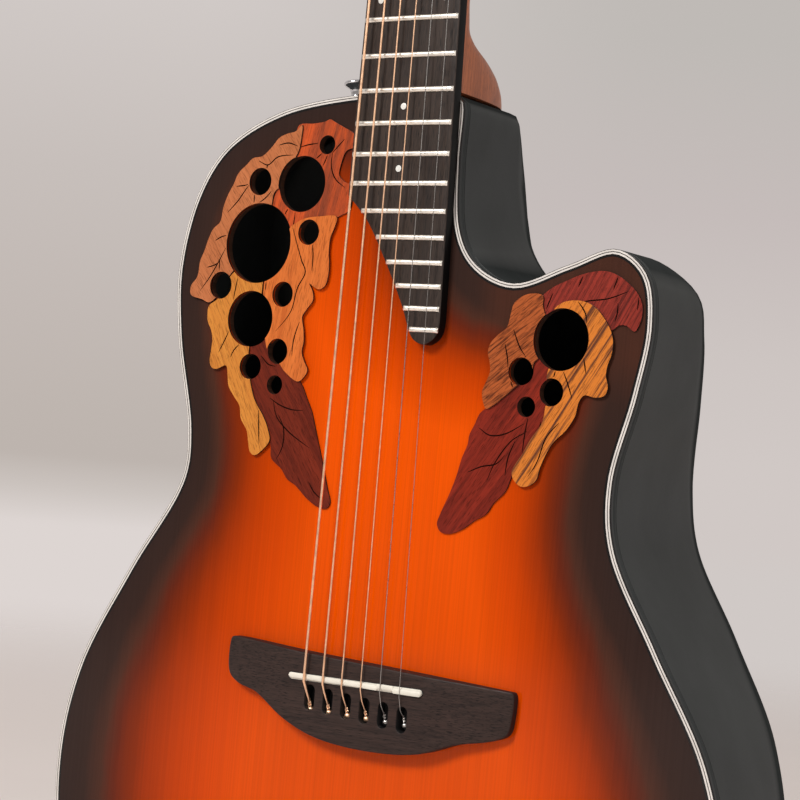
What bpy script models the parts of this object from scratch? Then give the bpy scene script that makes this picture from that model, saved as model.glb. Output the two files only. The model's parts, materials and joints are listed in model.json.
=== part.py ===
"""Bowl-back acoustic-electric guitar with a cutaway, as separate solids.

Metres, +Z up along the neck towards the headstock. The soundboard faces -Y and +X is the treble side.
The origin is on the centreline, in the soundboard's plane, where the nut meets the fingerboard.
"""

import math

import bmesh
import bpy
import numpy as np
from mathutils import Matrix, Vector

MM = 0.001
GAP = 0.3 * MM  # clearance left between pieces that touch

# Strings and neck
SCALE_LENGTH = 641.35 * MM
FRET_COUNT = 23
STRING_DIAMETERS = [1.35, 1.07, 0.81, 0.61, 0.406, 0.305]  # mm, bass to treble
NUT_SPREAD = 36.3 * MM
SADDLE_SPREAD = 55.35 * MM
BOARD_HALF_AT_NUT = 21.5 * MM
BOARD_TAPER = 0.019  # half width gained per unit of length
BOARD_TOP = 6.4 * MM  # fingerboard surface above the soundboard
FRET_HEIGHT = 1.1 * MM
STRING_OVER_NUT = 8.3 * MM
STRING_OVER_SADDLE = 10.2 * MM
SADDLE_Z = -643.2 * MM
BRIDGE_THICK = 8.7 * MM
WING_FROM = 40.0 * MM  # the bridge thins from here to its ends
WING_SLOPE = math.atan(0.1)

# Body
TAIL_Z = -847.0 * MM
BOARD_THICK = 3.0 * MM
BINDING_WIDTH = 3.6 * MM
BOWL_WALL = 3.0 * MM
BOWL_CENTRE = np.array([-2.0, -560.0]) * MM
BODY_SEGMENTS = 80
BOWL_RINGS = [1.0, 0.99, 0.96, 0.91, 0.82, 0.68, 0.42]  # fractions of the distance to the edge
BOWL_SQUARENESS = 5.0
LEAF_THICK = 0.6 * MM
LEAF_SEGMENTS = 42

# Headstock and tuners, in the headstock's own frame: x across, y back from its face, z along it
HEAD_ANGLE = math.radians(13.0)
HEAD_START_Z = 5.6 * MM
HEAD_THICK = 14.0 * MM
OVERLAY_THICK = 2.0 * MM
POST_X = 21.0 * MM
POST_ROWS = [45.0 * MM, 88.0 * MM, 131.0 * MM]
POST_RADIUS = 3.0 * MM
POST_TOP = 16.0 * MM
KEY_AXIS_Y = 19.8 * MM
KEY_OFFSET = 7.7 * MM  # worm axis from the post's axis
WRAP_HEIGHT = 8.6 * MM  # string windings in front of the headstock's face

# Preamp on the bass-side shoulder: distances along the wall from its middle, and across the wall
PREAMP_AT = np.array([-112.0, -381.0]) * MM
PREAMP_LENGTH = 66.0 * MM
PREAMP_Y = (14.0 * MM, 52.0 * MM)
PREAMP_PROUD = 2.0 * MM
CASE_HALF_LENGTH = 27.5 * MM
CASE_HALF_Y = 13.5 * MM
SLIDER_PLACES = {"slider_bass": -24.0 * MM, "slider_middle": -14.0 * MM, "slider_treble": -4.0 * MM}
KNOB_PLACE = 10.0 * MM
BUTTON_PLACE = 25.0 * MM
SLIDER_TRAVEL = 8.0 * MM
BUTTON_TRAVEL = 1.2 * MM

# Outlines are (x, z) points in millimetres on the soundboard, joined by a smooth curve.
BODY_OUTLINE = [
    (27.2, -361.0), (24.5, -356.8), (19.0, -356.0), (-26.0, -356.0), (-34.0, -356.1),
    (-78.0, -363.3), (-112.0, -381.0), (-128.5, -405.0), (-137.3, -443.0), (-134.3, -479.6),
    (-122.4, -529.0), (-123.6, -553.0), (-153.7, -602.5), (-183.4, -657.8), (-193.0, -708.0),
    (-186.0, -758.0), (-152.0, -811.0), (-95.0, -839.0), (-40.0, -846.4), (0.0, -847.0),
    (40.0, -846.4), (95.0, -839.0), (153.0, -811.0), (188.0, -758.0), (195.0, -706.0),
    (183.2, -657.2), (154.4, -609.2), (129.4, -566.0), (126.0, -537.0), (135.2, -496.4),
    (139.8, -464.0), (134.8, -441.0), (117.5, -430.0), (94.4, -437.6), (65.5, -447.0),
    (43.5, -438.0), (30.8, -419.6), (27.5, -390.0),
]
BRIDGE_OUTLINE = [
    (-79.0, -631.0), (-78.2, -629.8), (-73.0, -629.5), (-35.0, -631.5), (30.0, -634.0), (82.5, -636.2),
    (85.2, -636.4), (86.0, -637.3), (86.0, -648.0), (84.1, -656.0), (76.0, -660.0), (59.0, -664.0),
    (38.0, -671.5), (8.0, -674.2), (-22.0, -671.8), (-42.0, -664.8), (-59.7, -655.2), (-72.2, -652.2),
    (-78.5, -647.5),
]
BOARD_END = [
    (30.3, -466.0), (29.9, -471.0), (27.9, -475.2), (22.6, -478.4), (18.0, -477.4), (14.8, -474.8),
    (8.1, -460.0), (-3.2, -439.5), (-16.4, -419.2), (-28.9, -407.0),
]
HEAD_HALF = [(22.3, -14.0), (22.6, 0.0), (24.0, 9.0), (30.0, 20.0), (35.2, 27.0), (37.0, 40.0), (38.5, 90.0),
             (39.5, 140.0), (38.0, 160.0), (29.0, 173.0), (13.0, 178.5), (0.0, 180.0)]

# Sound holes as (x, z, radius) in millimetres
SOUND_HOLES = [
    (-85.1, -430.9, 20.4), (-61.1, -400.6, 14.2), (-86.3, -469.5, 14.2), (94.5, -472.7, 14.5),
    (-47.5, -381.0, 4.8), (-87.0, -399.5, 7.0), (-54.0, -425.0, 6.4), (-107.0, -453.0, 7.0),
    (-67.0, -456.5, 6.4), (-67.5, -485.3, 6.4), (-84.0, -493.7, 6.4), (-68.0, -502.2, 4.8),
    (74.5, -488.3, 6.5), (91.5, -497.2, 6.5), (78.5, -504.6, 4.8),
]

# Leaf inlays round the sound holes. The lower ones lie on the soundboard, the upper ones over them.
LOWER_LEAVES = {
    "leaf_bass_top": [
        (-66.0, -370.9), (-57.0, -370.2), (-50.0, -369.3), (-47.0, -368.2), (-44.0, -369.6),
        (-37.7, -372.6), (-33.0, -374.8), (-30.3, -377.5), (-30.4, -382.0), (-35.6, -384.2),
        (-38.3, -391.0), (-38.8, -396.2), (-35.2, -399.5), (-30.8, -401.6), (-31.0, -413.6),
        (-36.0, -416.4), (-42.0, -419.5), (-55.0, -421.0), (-66.0, -424.0), (-74.0, -420.0),
        (-81.0, -411.0), (-80.0, -403.0), (-70.0, -388.0), (-68.0, -378.0),
    ],
    "leaf_bass_lower": [
        (-51.0, -501.5), (-47.3, -507.9), (-43.9, -513.9), (-39.2, -526.4), (-36.2, -534.5),
        (-30.5, -551.0), (-28.1, -558.0), (-29.4, -560.9), (-33.5, -561.4), (-41.3, -558.0),
        (-50.2, -551.3), (-55.5, -548.6), (-59.2, -544.2), (-66.2, -539.0), (-67.4, -532.5),
        (-72.0, -524.0), (-81.0, -512.0), (-87.0, -500.0), (-88.5, -489.0), (-85.0, -479.0),
        (-76.0, -479.5), (-66.0, -487.0),
    ],
    "leaf_treble_top": [
        (83.4, -451.8), (88.0, -448.5), (94.5, -445.5), (101.0, -442.8), (108.0, -441.0),
        (115.0, -440.6), (121.0, -442.4), (126.5, -445.8), (131.0, -449.7), (134.2, -455.2),
        (134.5, -460.5), (133.0, -465.5), (131.4, -467.5), (127.0, -465.0), (123.5, -465.0),
        (119.0, -467.6), (112.0, -464.0), (102.0, -462.0), (90.0, -463.0), (82.0, -461.0),
        (79.6, -456.0),
    ],
    "leaf_treble_lower": [
        (57.5, -506.0), (53.6, -509.5), (51.6, -514.2), (49.0, -519.6), (48.5, -524.0),
        (46.0, -530.5), (43.5, -540.0), (40.5, -548.5), (36.4, -558.0), (35.0, -563.0),
        (37.2, -566.4), (42.0, -567.0), (49.5, -564.0), (55.5, -559.6), (61.5, -556.0),
        (65.2, -550.5), (71.0, -544.5), (73.2, -538.8), (76.0, -531.0), (84.0, -521.0),
        (91.0, -508.0), (93.0, -494.0), (88.0, -480.0), (80.0, -479.0), (75.0, -490.0),
        (64.0, -501.0),
    ],
}
UPPER_LEAVES = {
    "leaf_bass_outer": [
        (-63.5, -371.0), (-67.0, -374.0), (-72.5, -375.3), (-77.2, -377.3), (-81.5, -382.0),
        (-87.0, -386.5), (-93.0, -387.6), (-96.6, -390.8), (-101.5, -395.2), (-104.2, -401.0),
        (-107.4, -406.8), (-109.6, -413.0), (-110.8, -420.2), (-115.0, -424.0), (-117.6, -429.2),
        (-119.7, -435.6), (-121.9, -440.8), (-122.9, -448.8), (-126.6, -453.9), (-126.3, -458.3),
        (-118.5, -460.6), (-113.5, -462.0), (-107.5, -457.0), (-100.8, -446.6), (-94.0, -440.0),
        (-86.0, -425.0), (-79.0, -413.0), (-77.5, -405.0), (-70.0, -399.0), (-67.0, -389.0),
        (-64.4, -384.0), (-63.4, -377.0),
    ],
    "leaf_bass_inner": [
        (-65.5, -422.6), (-61.5, -420.0), (-56.5, -418.0), (-48.0, -417.0), (-37.6, -417.1),
        (-38.1, -421.5), (-40.3, -427.5), (-40.7, -434.3), (-39.8, -441.0), (-40.0, -447.5),
        (-41.3, -451.6), (-44.6, -453.4), (-48.2, -452.2), (-51.0, -450.6), (-48.6, -454.5),
        (-47.9, -458.9), (-51.3, -463.6), (-53.6, -467.4), (-52.2, -474.0), (-51.5, -480.0),
        (-52.2, -485.0), (-50.2, -489.6), (-47.8, -493.9), (-49.8, -497.7), (-53.2, -499.8),
        (-61.7, -495.2), (-66.0, -491.0), (-73.0, -486.0), (-75.5, -480.0), (-78.0, -466.0),
        (-79.2, -454.5), (-78.5, -447.0), (-70.0, -432.0),
    ],
    "leaf_bass_left": [
        (-97.0, -444.6), (-102.2, -449.6), (-108.0, -459.8), (-113.6, -463.8), (-114.2, -468.0),
        (-113.4, -472.2), (-111.0, -476.0), (-109.6, -481.0), (-109.8, -486.6), (-110.1, -492.4),
        (-108.2, -495.6), (-105.0, -496.0), (-99.2, -494.0), (-97.6, -499.4), (-96.4, -504.5),
        (-92.3, -509.6), (-88.5, -513.9), (-86.8, -520.5), (-82.5, -526.2), (-80.8, -532.6),
        (-79.2, -537.0), (-76.2, -538.3), (-71.4, -535.1), (-67.7, -530.2), (-69.4, -524.5),
        (-72.8, -518.5), (-79.1, -510.5), (-82.1, -503.7), (-84.6, -495.0), (-85.4, -485.0),
        (-84.0, -476.0), (-81.0, -464.0), (-80.2, -454.5), (-81.0, -446.0), (-89.0, -443.0),
    ],
    "leaf_treble_inner": [
        (83.2, -452.8), (77.5, -451.9), (72.0, -453.5), (68.0, -457.0), (67.0, -460.5),
        (65.2, -468.2), (60.6, -472.0), (57.0, -476.0), (56.0, -480.2), (57.4, -485.0),
        (58.0, -489.2), (56.4, -494.0), (54.6, -498.5), (55.4, -503.2), (57.6, -506.8),
        (62.0, -504.4), (68.0, -499.5), (75.0, -493.6), (80.4, -488.8), (81.4, -484.0),
        (86.0, -480.0), (90.0, -470.0), (85.5, -462.0), (83.6, -457.5),
    ],
    "leaf_treble_outer": [
        (89.5, -459.6), (93.6, -455.8), (99.0, -454.5), (105.0, -454.8), (110.5, -457.0),
        (115.0, -461.0), (119.5, -467.0), (121.4, -472.4), (121.2, -478.4), (119.6, -483.4),
        (119.2, -488.2), (120.6, -493.2), (119.2, -497.2), (114.5, -498.3), (109.0, -497.6),
        (106.5, -500.6), (105.0, -507.5), (101.0, -514.0), (94.5, -520.5), (91.0, -526.8),
        (88.7, -533.0), (87.4, -538.0), (83.8, -540.9), (79.5, -541.6), (75.6, -539.0),
        (74.1, -535.4), (75.6, -531.8), (79.0, -526.5), (83.0, -519.0), (88.0, -511.6),
        (89.2, -500.0), (88.6, -490.0), (91.0, -480.0), (93.0, -468.0),
    ],
}

# Bowl depth behind the soundboard as (z, depth) stations in millimetres: at the top of its rounded
# edge, and at the middle of its back.
WALL_DEPTH = [(-356, 57), (-393, 60), (-430, 71), (-500, 78), (-545, 82), (-600, 83), (-668, 65),
              (-750, 50), (-847, 47)]
BACK_DEPTH = [(-356, 66), (-393, 82), (-430, 96), (-490, 110), (-550, 117.5), (-600, 120),
              (-700, 120), (-780, 120), (-847, 112)]
# The cutaway's horn is shallower than the rest of the bowl.
HORN_WALL_DEPTH = [(-430, 32), (-447, 49), (-464, 50), (-510, 64), (-560, 82)]
HORN_BACK_DEPTH = [(-430, 62), (-447, 77), (-464, 84), (-510, 105), (-560, 118)]
HORN_ACROSS = (45.0 * MM, 105.0 * MM)
HORN_ALONG = (-570.0 * MM, -500.0 * MM)

# Neck sections as (z, half width, front, depth, squareness), in millimetres
NECK_SECTIONS = [
    (28, 20.0, 6.6, 10.5, 3.2), (16, 21.0, 3.4, 12.2, 2.8), (5.4, 22.3, 0, 14.6, 2.4),
    (-20, 21.8, 0, 14.6, 2.2), (-150, 24.2, 0, 15.6, 2.2), (-290, 26.4, 0, 16.6, 2.2),
    (-318, 26.4, 0, 17.6, 2.3), (-327, 26.4, 0, 22, 2.4), (-331, 26.3, 0, 30, 2.6),
    (-335, 26.2, 0, 41, 2.9), (-340, 26.0, 0, 51, 3.1), (-347, 25.8, 0, 58, 3.3),
    (-355.6, 25.6, 0, 61, 3.4),
]
NECK_SEGMENTS = 14

FINISHES = {  # colour, roughness, metallic
    "spruce": ((0.75, 0.14, 0.015), 0.12, 0.0),
    "bowl_composite": ((0.035, 0.037, 0.038), 0.38, 0.0),
    "binding_plastic": ((0.8, 0.79, 0.76), 0.25, 0.0),
    "mahogany": ((0.30, 0.10, 0.035), 0.42, 0.0),
    "rosewood": ((0.035, 0.027, 0.024), 0.5, 0.0),
    "inner_spruce": ((0.55, 0.38, 0.2), 0.6, 0.0),
    "maple_veneer": ((0.42, 0.19, 0.08), 0.45, 0.0),
    "padauk_veneer": ((0.50, 0.10, 0.03), 0.45, 0.0),
    "tan_veneer": ((0.50, 0.22, 0.08), 0.45, 0.0),
    "yellow_veneer": ((0.60, 0.28, 0.06), 0.45, 0.0),
    "red_veneer": ((0.18, 0.025, 0.015), 0.45, 0.0),
    "bone": ((0.85, 0.83, 0.76), 0.35, 0.0),
    "bronze_string": ((0.75, 0.42, 0.2), 0.3, 1.0),
    "steel": ((0.6, 0.6, 0.6), 0.25, 1.0),
    "chrome": ((0.75, 0.75, 0.75), 0.08, 1.0),
    "black_plastic": ((0.02, 0.02, 0.022), 0.4, 0.0),
    "brass": ((0.7, 0.5, 0.2), 0.3, 1.0),
}


def start_scene():
    for obj in list(bpy.data.objects):
        bpy.data.objects.remove(obj)
    collections = []
    for name in ("acoustic_guitar", "cutters"):
        collection = bpy.data.collections.new(name)
        bpy.context.scene.collection.children.link(collection)
        collections.append(collection)
    return collections


PARTS, CUTTERS = start_scene()


def finish_of(name):
    found = bpy.data.materials.get(name)
    if found:
        return found
    colour, roughness, metallic = FINISHES[name]
    found = bpy.data.materials.new(name)
    found.use_nodes = True
    shader = found.node_tree.nodes["Principled BSDF"]
    shader.inputs["Base Color"].default_value = (*colour, 1.0)
    shader.inputs["Roughness"].default_value = roughness
    shader.inputs["Metallic"].default_value = metallic
    found.diffuse_color = (*colour, 1.0)
    return found


def place(obj, finish):
    """Puts an object among the parts, or among the cutters when it has no finish."""
    for collection in list(obj.users_collection):
        collection.objects.unlink(obj)
    if finish is None:
        CUTTERS.objects.link(obj)
        obj.hide_render = True
        obj.display_type = "WIRE"
    else:
        PARTS.objects.link(obj)
        obj.data.materials.clear()
        obj.data.materials.append(finish_of(finish))
    return obj


def object_from(name, shape, finish, frame=None):
    """An object from a bmesh that is built in the given frame."""
    mesh = bpy.data.meshes.new(name)
    shape.to_mesh(mesh)
    shape.free()
    obj = bpy.data.objects.new(name, mesh)
    if frame is not None:
        obj.matrix_world = frame
    return place(obj, finish)


def smooth_shading(obj, degrees=35.0):
    obj.data.shade_smooth()
    obj.data.set_sharp_from_angle(angle=math.radians(degrees))
    return obj


def boolean(obj, other, operation="DIFFERENCE"):
    modifier = obj.modifiers.new(operation.title(), "BOOLEAN")
    modifier.operation = operation
    modifier.solver = "EXACT"
    modifier.object = other
    return obj


def bevel(obj, width, segments=1, degrees=30.0):
    modifier = obj.modifiers.new("Edges", "BEVEL")
    modifier.width = width
    modifier.segments = segments
    modifier.limit_method = "ANGLE"
    modifier.angle_limit = math.radians(degrees)
    return obj


# Curves through hand-set points


def cubic(before, start, end, after, lengths, share):
    """A smooth point between start and end. Lengths are those of the three stretches between the points."""
    earlier, own, later = lengths
    leaving = ((start - before) / earlier * own + (end - start) / own * earlier) / (earlier + own)
    arriving = ((end - start) / own * later + (after - end) / later * own) / (own + later)
    rest = 1 - share
    return (
        (1 + 2 * share) * rest**2 * start
        + share**2 * (3 - 2 * share) * end
        + own * share * rest * (rest * leaving - share * arriving)
    )


def smooth_loop(points, count):
    """A closed smooth curve through the points in millimetres, as count points evenly spaced in metres."""
    knots = np.array(points, float) * MM
    stretches = np.sqrt(np.linalg.norm(np.roll(knots, -1, axis=0) - knots, axis=1))
    total = len(knots)
    fine = []
    for i in range(total):
        around = [knots[(i + step) % total] for step in (-1, 0, 1, 2)]
        lengths = [stretches[(i + step) % total] for step in (-1, 0, 1)]
        fine += [cubic(*around, lengths, share) for share in np.linspace(0, 1, 12, endpoint=False)]
    fine = np.array(fine + [fine[0]])
    travelled = np.concatenate([[0], np.cumsum(np.linalg.norm(np.diff(fine, axis=0), axis=1))])
    wanted = np.linspace(0, travelled[-1], count, endpoint=False)
    return np.column_stack([np.interp(wanted, travelled, fine[:, axis]) for axis in (0, 1)])


def smooth_value(stations, at):
    """A smooth curve through (position, value) stations in millimetres, read at a position in metres."""
    places, values = np.array(sorted(stations), float).T
    where = min(max(at / MM, places[0]), places[-1])
    i = min(int(np.searchsorted(places, where, side="right")) - 1, len(places) - 2)
    share = (where - places[i]) / (places[i + 1] - places[i])
    padded_places = np.concatenate([[2 * places[0] - places[1]], places, [2 * places[-1] - places[-2]]])
    padded = np.concatenate([[values[0]], values, [values[-1]]])
    lengths = np.diff(padded_places[i:i + 4])
    return cubic(*padded[i:i + 4], lengths, share) * MM


def outward_normals(loop):
    along = np.roll(loop, -1, axis=0) - np.roll(loop, 1, axis=0)
    normals = np.column_stack([-along[:, 1], along[:, 0]])
    normals /= np.linalg.norm(normals, axis=1)[:, None]
    signed_area = np.sum(loop[:, 0] * np.roll(loop[:, 1], -1) - np.roll(loop[:, 0], -1) * loop[:, 1])
    return -normals if signed_area > 0 else normals


def inset(loop, distance):
    return loop - outward_normals(loop) * distance


# Basic solids


def plate(name, loops, front, back, finish, frame=None):
    """A flat plate between the depths front and back: its outline is the first loop, the rest are holes."""
    curve = bpy.data.curves.new(name, "CURVE")
    curve.dimensions = "2D"
    curve.fill_mode = "BOTH"
    curve.extrude = (back - front) / 2
    for loop in loops:
        spline = curve.splines.new("POLY")
        spline.points.add(len(loop) - 1)
        for point, (x, z) in zip(spline.points, loop):
            point.co = (x, z, 0.0, 1.0)
        spline.use_cyclic_u = True
    guide = bpy.data.objects.new(name + "_curve", curve)
    CUTTERS.objects.link(guide)
    stand_up = Matrix.Translation((0, (front + back) / 2, 0)) @ Matrix.Rotation(math.pi / 2, 4, "X")
    guide.matrix_world = (frame or Matrix.Identity(4)) @ stand_up
    return solid_from_curve(guide, name, finish)


def solid_from_curve(guide, name, finish):
    """Turns a curve object into a mesh object with its caps welded on."""
    bpy.context.view_layer.update()
    graph = bpy.context.evaluated_depsgraph_get()
    mesh = bpy.data.meshes.new_from_object(guide.evaluated_get(graph))
    shape = bmesh.new()
    shape.from_mesh(mesh)
    bmesh.ops.remove_doubles(shape, verts=shape.verts, dist=0.00001)
    bmesh.ops.recalc_face_normals(shape, faces=shape.faces)
    shape.to_mesh(mesh)
    shape.free()
    mesh.name = name
    obj = bpy.data.objects.new(name, mesh)
    obj.matrix_world = guide.matrix_world.copy()
    bpy.data.objects.remove(guide)
    return place(obj, finish)


def axis_turn(axis):
    """The rotation that takes +Z to the given axis."""
    return Vector((0, 0, 1)).rotation_difference(Vector(axis)).to_matrix().to_4x4()


def add_cylinder(shape, radius, start, end, sides=16, end_radius=None):
    start, end = Vector(start), Vector(end)
    along = end - start
    matrix = Matrix.Translation((start + end) / 2) @ axis_turn(along.normalized())
    bmesh.ops.create_cone(
        shape, cap_ends=True, segments=sides, radius1=radius,
        radius2=radius if end_radius is None else end_radius, depth=along.length, matrix=matrix,
    )


def add_box(shape, low, high):
    low, high = Vector(low), Vector(high)
    size = Matrix.Diagonal((*(high - low), 1.0))
    bmesh.ops.create_cube(shape, size=1.0, matrix=Matrix.Translation((low + high) / 2) @ size)


def box(name, low, high, finish, frame=None):
    shape = bmesh.new()
    add_box(shape, low, high)
    return object_from(name, shape, finish, frame)


def cylinder(name, radius, start, end, finish, sides=16, frame=None):
    shape = bmesh.new()
    add_cylinder(shape, radius, start, end, sides)
    return object_from(name, shape, finish, frame)


def turned(name, profile, finish, frame, sides=20):
    """A solid of revolution about the frame's Z, from (radius, height) points running down its outside."""
    shape = bmesh.new()
    rim = [shape.verts.new((radius, 0.0, height)) for radius, height in profile]
    for start, end in zip(rim, rim[1:]):
        shape.edges.new((start, end))
    obj = object_from(name, shape, finish, frame)
    screw = obj.modifiers.new("Turn", "SCREW")
    screw.steps = screw.render_steps = sides
    screw.use_merge_vertices = True
    screw.merge_threshold = 0.00001
    return obj


def tube(name, route, radius, finish):
    """A round wire through the given points."""
    curve = bpy.data.curves.new(name, "CURVE")
    curve.dimensions = "3D"
    curve.bevel_depth = radius
    curve.bevel_resolution = 2
    curve.use_fill_caps = True
    spline = curve.splines.new("POLY")
    spline.points.add(len(route) - 1)
    for point, place_at in zip(spline.points, route):
        point.co = (*place_at, 1.0)
    guide = bpy.data.objects.new(name + "_curve", curve)
    CUTTERS.objects.link(guide)
    return solid_from_curve(guide, name, finish)


# Body

BODY_LOOP = smooth_loop(BODY_OUTLINE, BODY_SEGMENTS)


def sound_hole_cutter():
    shape = bmesh.new()
    for x, z, radius in SOUND_HOLES:
        sides = 24 if radius > 10 else 12
        add_cylinder(shape, radius * MM, (x * MM, -6 * MM, z * MM), (x * MM, 8 * MM, z * MM), sides)
    return object_from("sound_hole_cutter", shape, None)


def make_soundboard(holes):
    edge = inset(BODY_LOOP, BINDING_WIDTH + GAP)
    return boolean(plate("soundboard", [edge], 0.0, BOARD_THICK, "spruce"), holes)


def make_binding():
    return plate("binding", [BODY_LOOP, inset(BODY_LOOP, BINDING_WIDTH)], 0.0, BOARD_THICK,
                 "binding_plastic")


def smooth_step(low, high, at):
    share = min(max((at - low) / (high - low), 0), 1)
    return share * share * (3 - 2 * share)


def bowl_depth(fraction, x, z):
    """How far behind the soundboard the bowl's outside is, at a fraction of the way to its edge."""
    horn = smooth_step(*HORN_ACROSS, x) * smooth_step(*HORN_ALONG, z)
    wall = smooth_value(WALL_DEPTH, z) * (1 - horn) + smooth_value(HORN_WALL_DEPTH, z) * horn
    back = smooth_value(BACK_DEPTH, z) * (1 - horn) + smooth_value(HORN_BACK_DEPTH, z) * horn
    return wall + (back - wall) * math.sqrt(1 - fraction**BOWL_SQUARENESS)


def make_bowl(cutters):
    """An open surface from the rim, down the wall and over the rounded back, given its wall inwards."""
    shape = bmesh.new()
    rim_y = BOARD_THICK + GAP
    rings = [[shape.verts.new((x, rim_y, z)) for x, z in BODY_LOOP]]
    for fraction in BOWL_RINGS:
        loop = BOWL_CENTRE + (BODY_LOOP - BOWL_CENTRE) * fraction
        rings.append([shape.verts.new((x, bowl_depth(fraction, x, z), z)) for x, z in loop])
    for outer, inner in zip(rings, rings[1:]):
        for i in range(BODY_SEGMENTS):
            j = (i + 1) % BODY_SEGMENTS
            shape.faces.new((outer[i], outer[j], inner[j], inner[i]))
    x, z = BOWL_CENTRE
    middle = shape.verts.new((x, bowl_depth(0.0, x, z), z))
    for i in range(BODY_SEGMENTS):
        shape.faces.new((rings[-1][i], rings[-1][(i + 1) % BODY_SEGMENTS], middle))
    bmesh.ops.recalc_face_normals(shape, faces=shape.faces)
    if middle.normal.y < 0:
        bmesh.ops.reverse_faces(shape, faces=shape.faces)
    bowl = object_from("bowl", shape, "bowl_composite")
    shell = bowl.modifiers.new("Wall", "SOLIDIFY")
    shell.thickness = BOWL_WALL
    shell.offset = -1.0
    for cutter in cutters:
        boolean(bowl, cutter)
    return smooth_shading(bowl, 50)


def make_leaves(holes):
    finishes = {
        "leaf_bass_top": "padauk_veneer", "leaf_bass_lower": "red_veneer",
        "leaf_treble_top": "red_veneer", "leaf_treble_lower": "red_veneer",
        "leaf_bass_outer": "maple_veneer", "leaf_bass_inner": "tan_veneer",
        "leaf_bass_left": "yellow_veneer", "leaf_treble_inner": "maple_veneer",
        "leaf_treble_outer": "yellow_veneer",
    }
    upper_lift = 2 * GAP + LEAF_THICK
    for leaves, lift in ((LOWER_LEAVES, GAP), (UPPER_LEAVES, upper_lift)):
        for name, points in leaves.items():
            loop = smooth_loop(points, LEAF_SEGMENTS)
            boolean(plate(name, [loop], -lift - LEAF_THICK, -lift, finishes[name]), holes)


def make_inner_woodwork():
    """The neck block, the two fan braces, the upper brace and the plate under the bridge."""
    under = BOARD_THICK + GAP
    bevel(box("neck_block", (-32 * MM, under, -397 * MM), (22 * MM, 42 * MM, -362 * MM), "mahogany"),
          1.5 * MM)
    box("brace_upper", (-42 * MM, under, -430 * MM), (20 * MM, 15 * MM, -420 * MM), "inner_spruce")
    box("bridge_plate", (-37 * MM, under, -682 * MM), (37 * MM, 6 * MM, -628 * MM), "inner_spruce")
    for name, side in (("brace_bass", -1), ("brace_treble", 1)):
        top = Vector((side * 22 * MM, 0, -440 * MM))
        bottom = Vector((side * 62 * MM, 0, -800 * MM))
        along = bottom - top
        frame = Matrix.Translation(top) @ Matrix.Rotation(math.atan2(-along.x, -along.z), 4, "Y")
        brace = box(name, (-3.5 * MM, under, -along.length), (3.5 * MM, 14 * MM, 0), "inner_spruce",
                    frame)
        bevel(brace, 1.5 * MM)


# Neck, fingerboard and bridge


def half_section(half_width, front, depth, squareness):
    """The neck's section: a flat front and a rounded back, in millimetres."""
    points = []
    for i in range(NECK_SEGMENTS + 1):
        turn = math.pi * i / NECK_SEGMENTS
        across, back = math.cos(turn), math.sin(turn)
        x = math.copysign(abs(across) ** (2 / squareness), across) * half_width
        points.append((x, front + depth * abs(back) ** (2 / squareness)))
    return points


def head_outline(bottom, margin):
    """The headstock's outline, cut straight across at the bottom and drawn in by a margin."""
    around = HEAD_HALF + [(-x, z) for x, z in reversed(HEAD_HALF[:-1])]
    outline = inset(smooth_loop(around, 48), margin)
    kept = outline[outline[:, 1] > bottom + 2 * MM]
    half_width = HEAD_HALF[1][0] * MM - margin
    return np.vstack([[half_width, bottom], kept, [-half_width, bottom]])


def make_neck(frame, cutters):
    shape = bmesh.new()
    rings = []
    for z, half_width, front, depth, squareness in NECK_SECTIONS:
        section = half_section(half_width, front, depth, squareness)
        rings.append([shape.verts.new((x * MM, y * MM, z * MM)) for x, y in section])
    count = len(rings[0])
    for upper, lower in zip(rings, rings[1:]):
        for i in range(count):
            j = (i + 1) % count
            shape.faces.new((upper[i], upper[j], lower[j], lower[i]))
    shape.faces.new(rings[0])
    shape.faces.new(rings[-1])
    bmesh.ops.recalc_face_normals(shape, faces=shape.faces)
    neck = object_from("neck", shape, "mahogany")
    head = plate("headstock_blank", [head_outline(0.0, 0.0)], 0.0, HEAD_THICK, None, frame)
    boolean(neck, head, "UNION")
    for cutter in cutters:
        boolean(neck, cutter)
    return smooth_shading(neck)


def head_frame():
    """The frame of the headstock: it leans back from the nut."""
    return Matrix.Translation((0, 0, HEAD_START_Z)) @ Matrix.Rotation(-HEAD_ANGLE, 4, "X")


def truss_rod_cutters(frame):
    channel = box("truss_rod_channel", (-3.2 * MM, -2 * MM, -330 * MM), (3.2 * MM, 9.2 * MM, 12 * MM),
                  None)
    pocket = box("truss_rod_pocket", (-6 * MM, -6 * MM, 4 * MM), (6 * MM, 11 * MM, 28 * MM), None, frame)
    return channel, pocket


def make_truss_rod():
    shape = bmesh.new()
    add_cylinder(shape, 2.5 * MM, (0, 5.6 * MM, -325 * MM), (0, 5.6 * MM, 12 * MM), 12)
    rod = object_from("truss_rod", shape, "steel")
    nut = cylinder("truss_rod_nut", 3.9 * MM, (0, 5.6 * MM, 11.2 * MM), (0, 5.6 * MM, 22 * MM), None, 6)
    return boolean(rod, nut, "UNION")


def make_head_overlay(frame, cutters):
    outline = head_outline(1.2 * MM, 0.6 * MM)
    overlay = plate("headstock_overlay", [outline], -GAP - OVERLAY_THICK, -GAP, "rosewood", frame)
    for cutter in cutters:
        boolean(overlay, cutter)
    cover = [(0, 3), (9.5, 4.5), (10.5, 12), (8.5, 24), (4, 33), (0, 35.5), (-4, 33), (-8.5, 24),
             (-10.5, 12), (-9.5, 4.5)]
    front = -2 * GAP - OVERLAY_THICK
    bevel(plate("truss_rod_cover", [smooth_loop(cover, 28)], front - 1.8 * MM, front, "black_plastic",
                frame), 0.4 * MM)


def board_half_width(z):
    return BOARD_HALF_AT_NUT - BOARD_TAPER * z


def fret_z(number):
    return -SCALE_LENGTH * (1 - 2 ** (-number / 12))


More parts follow.
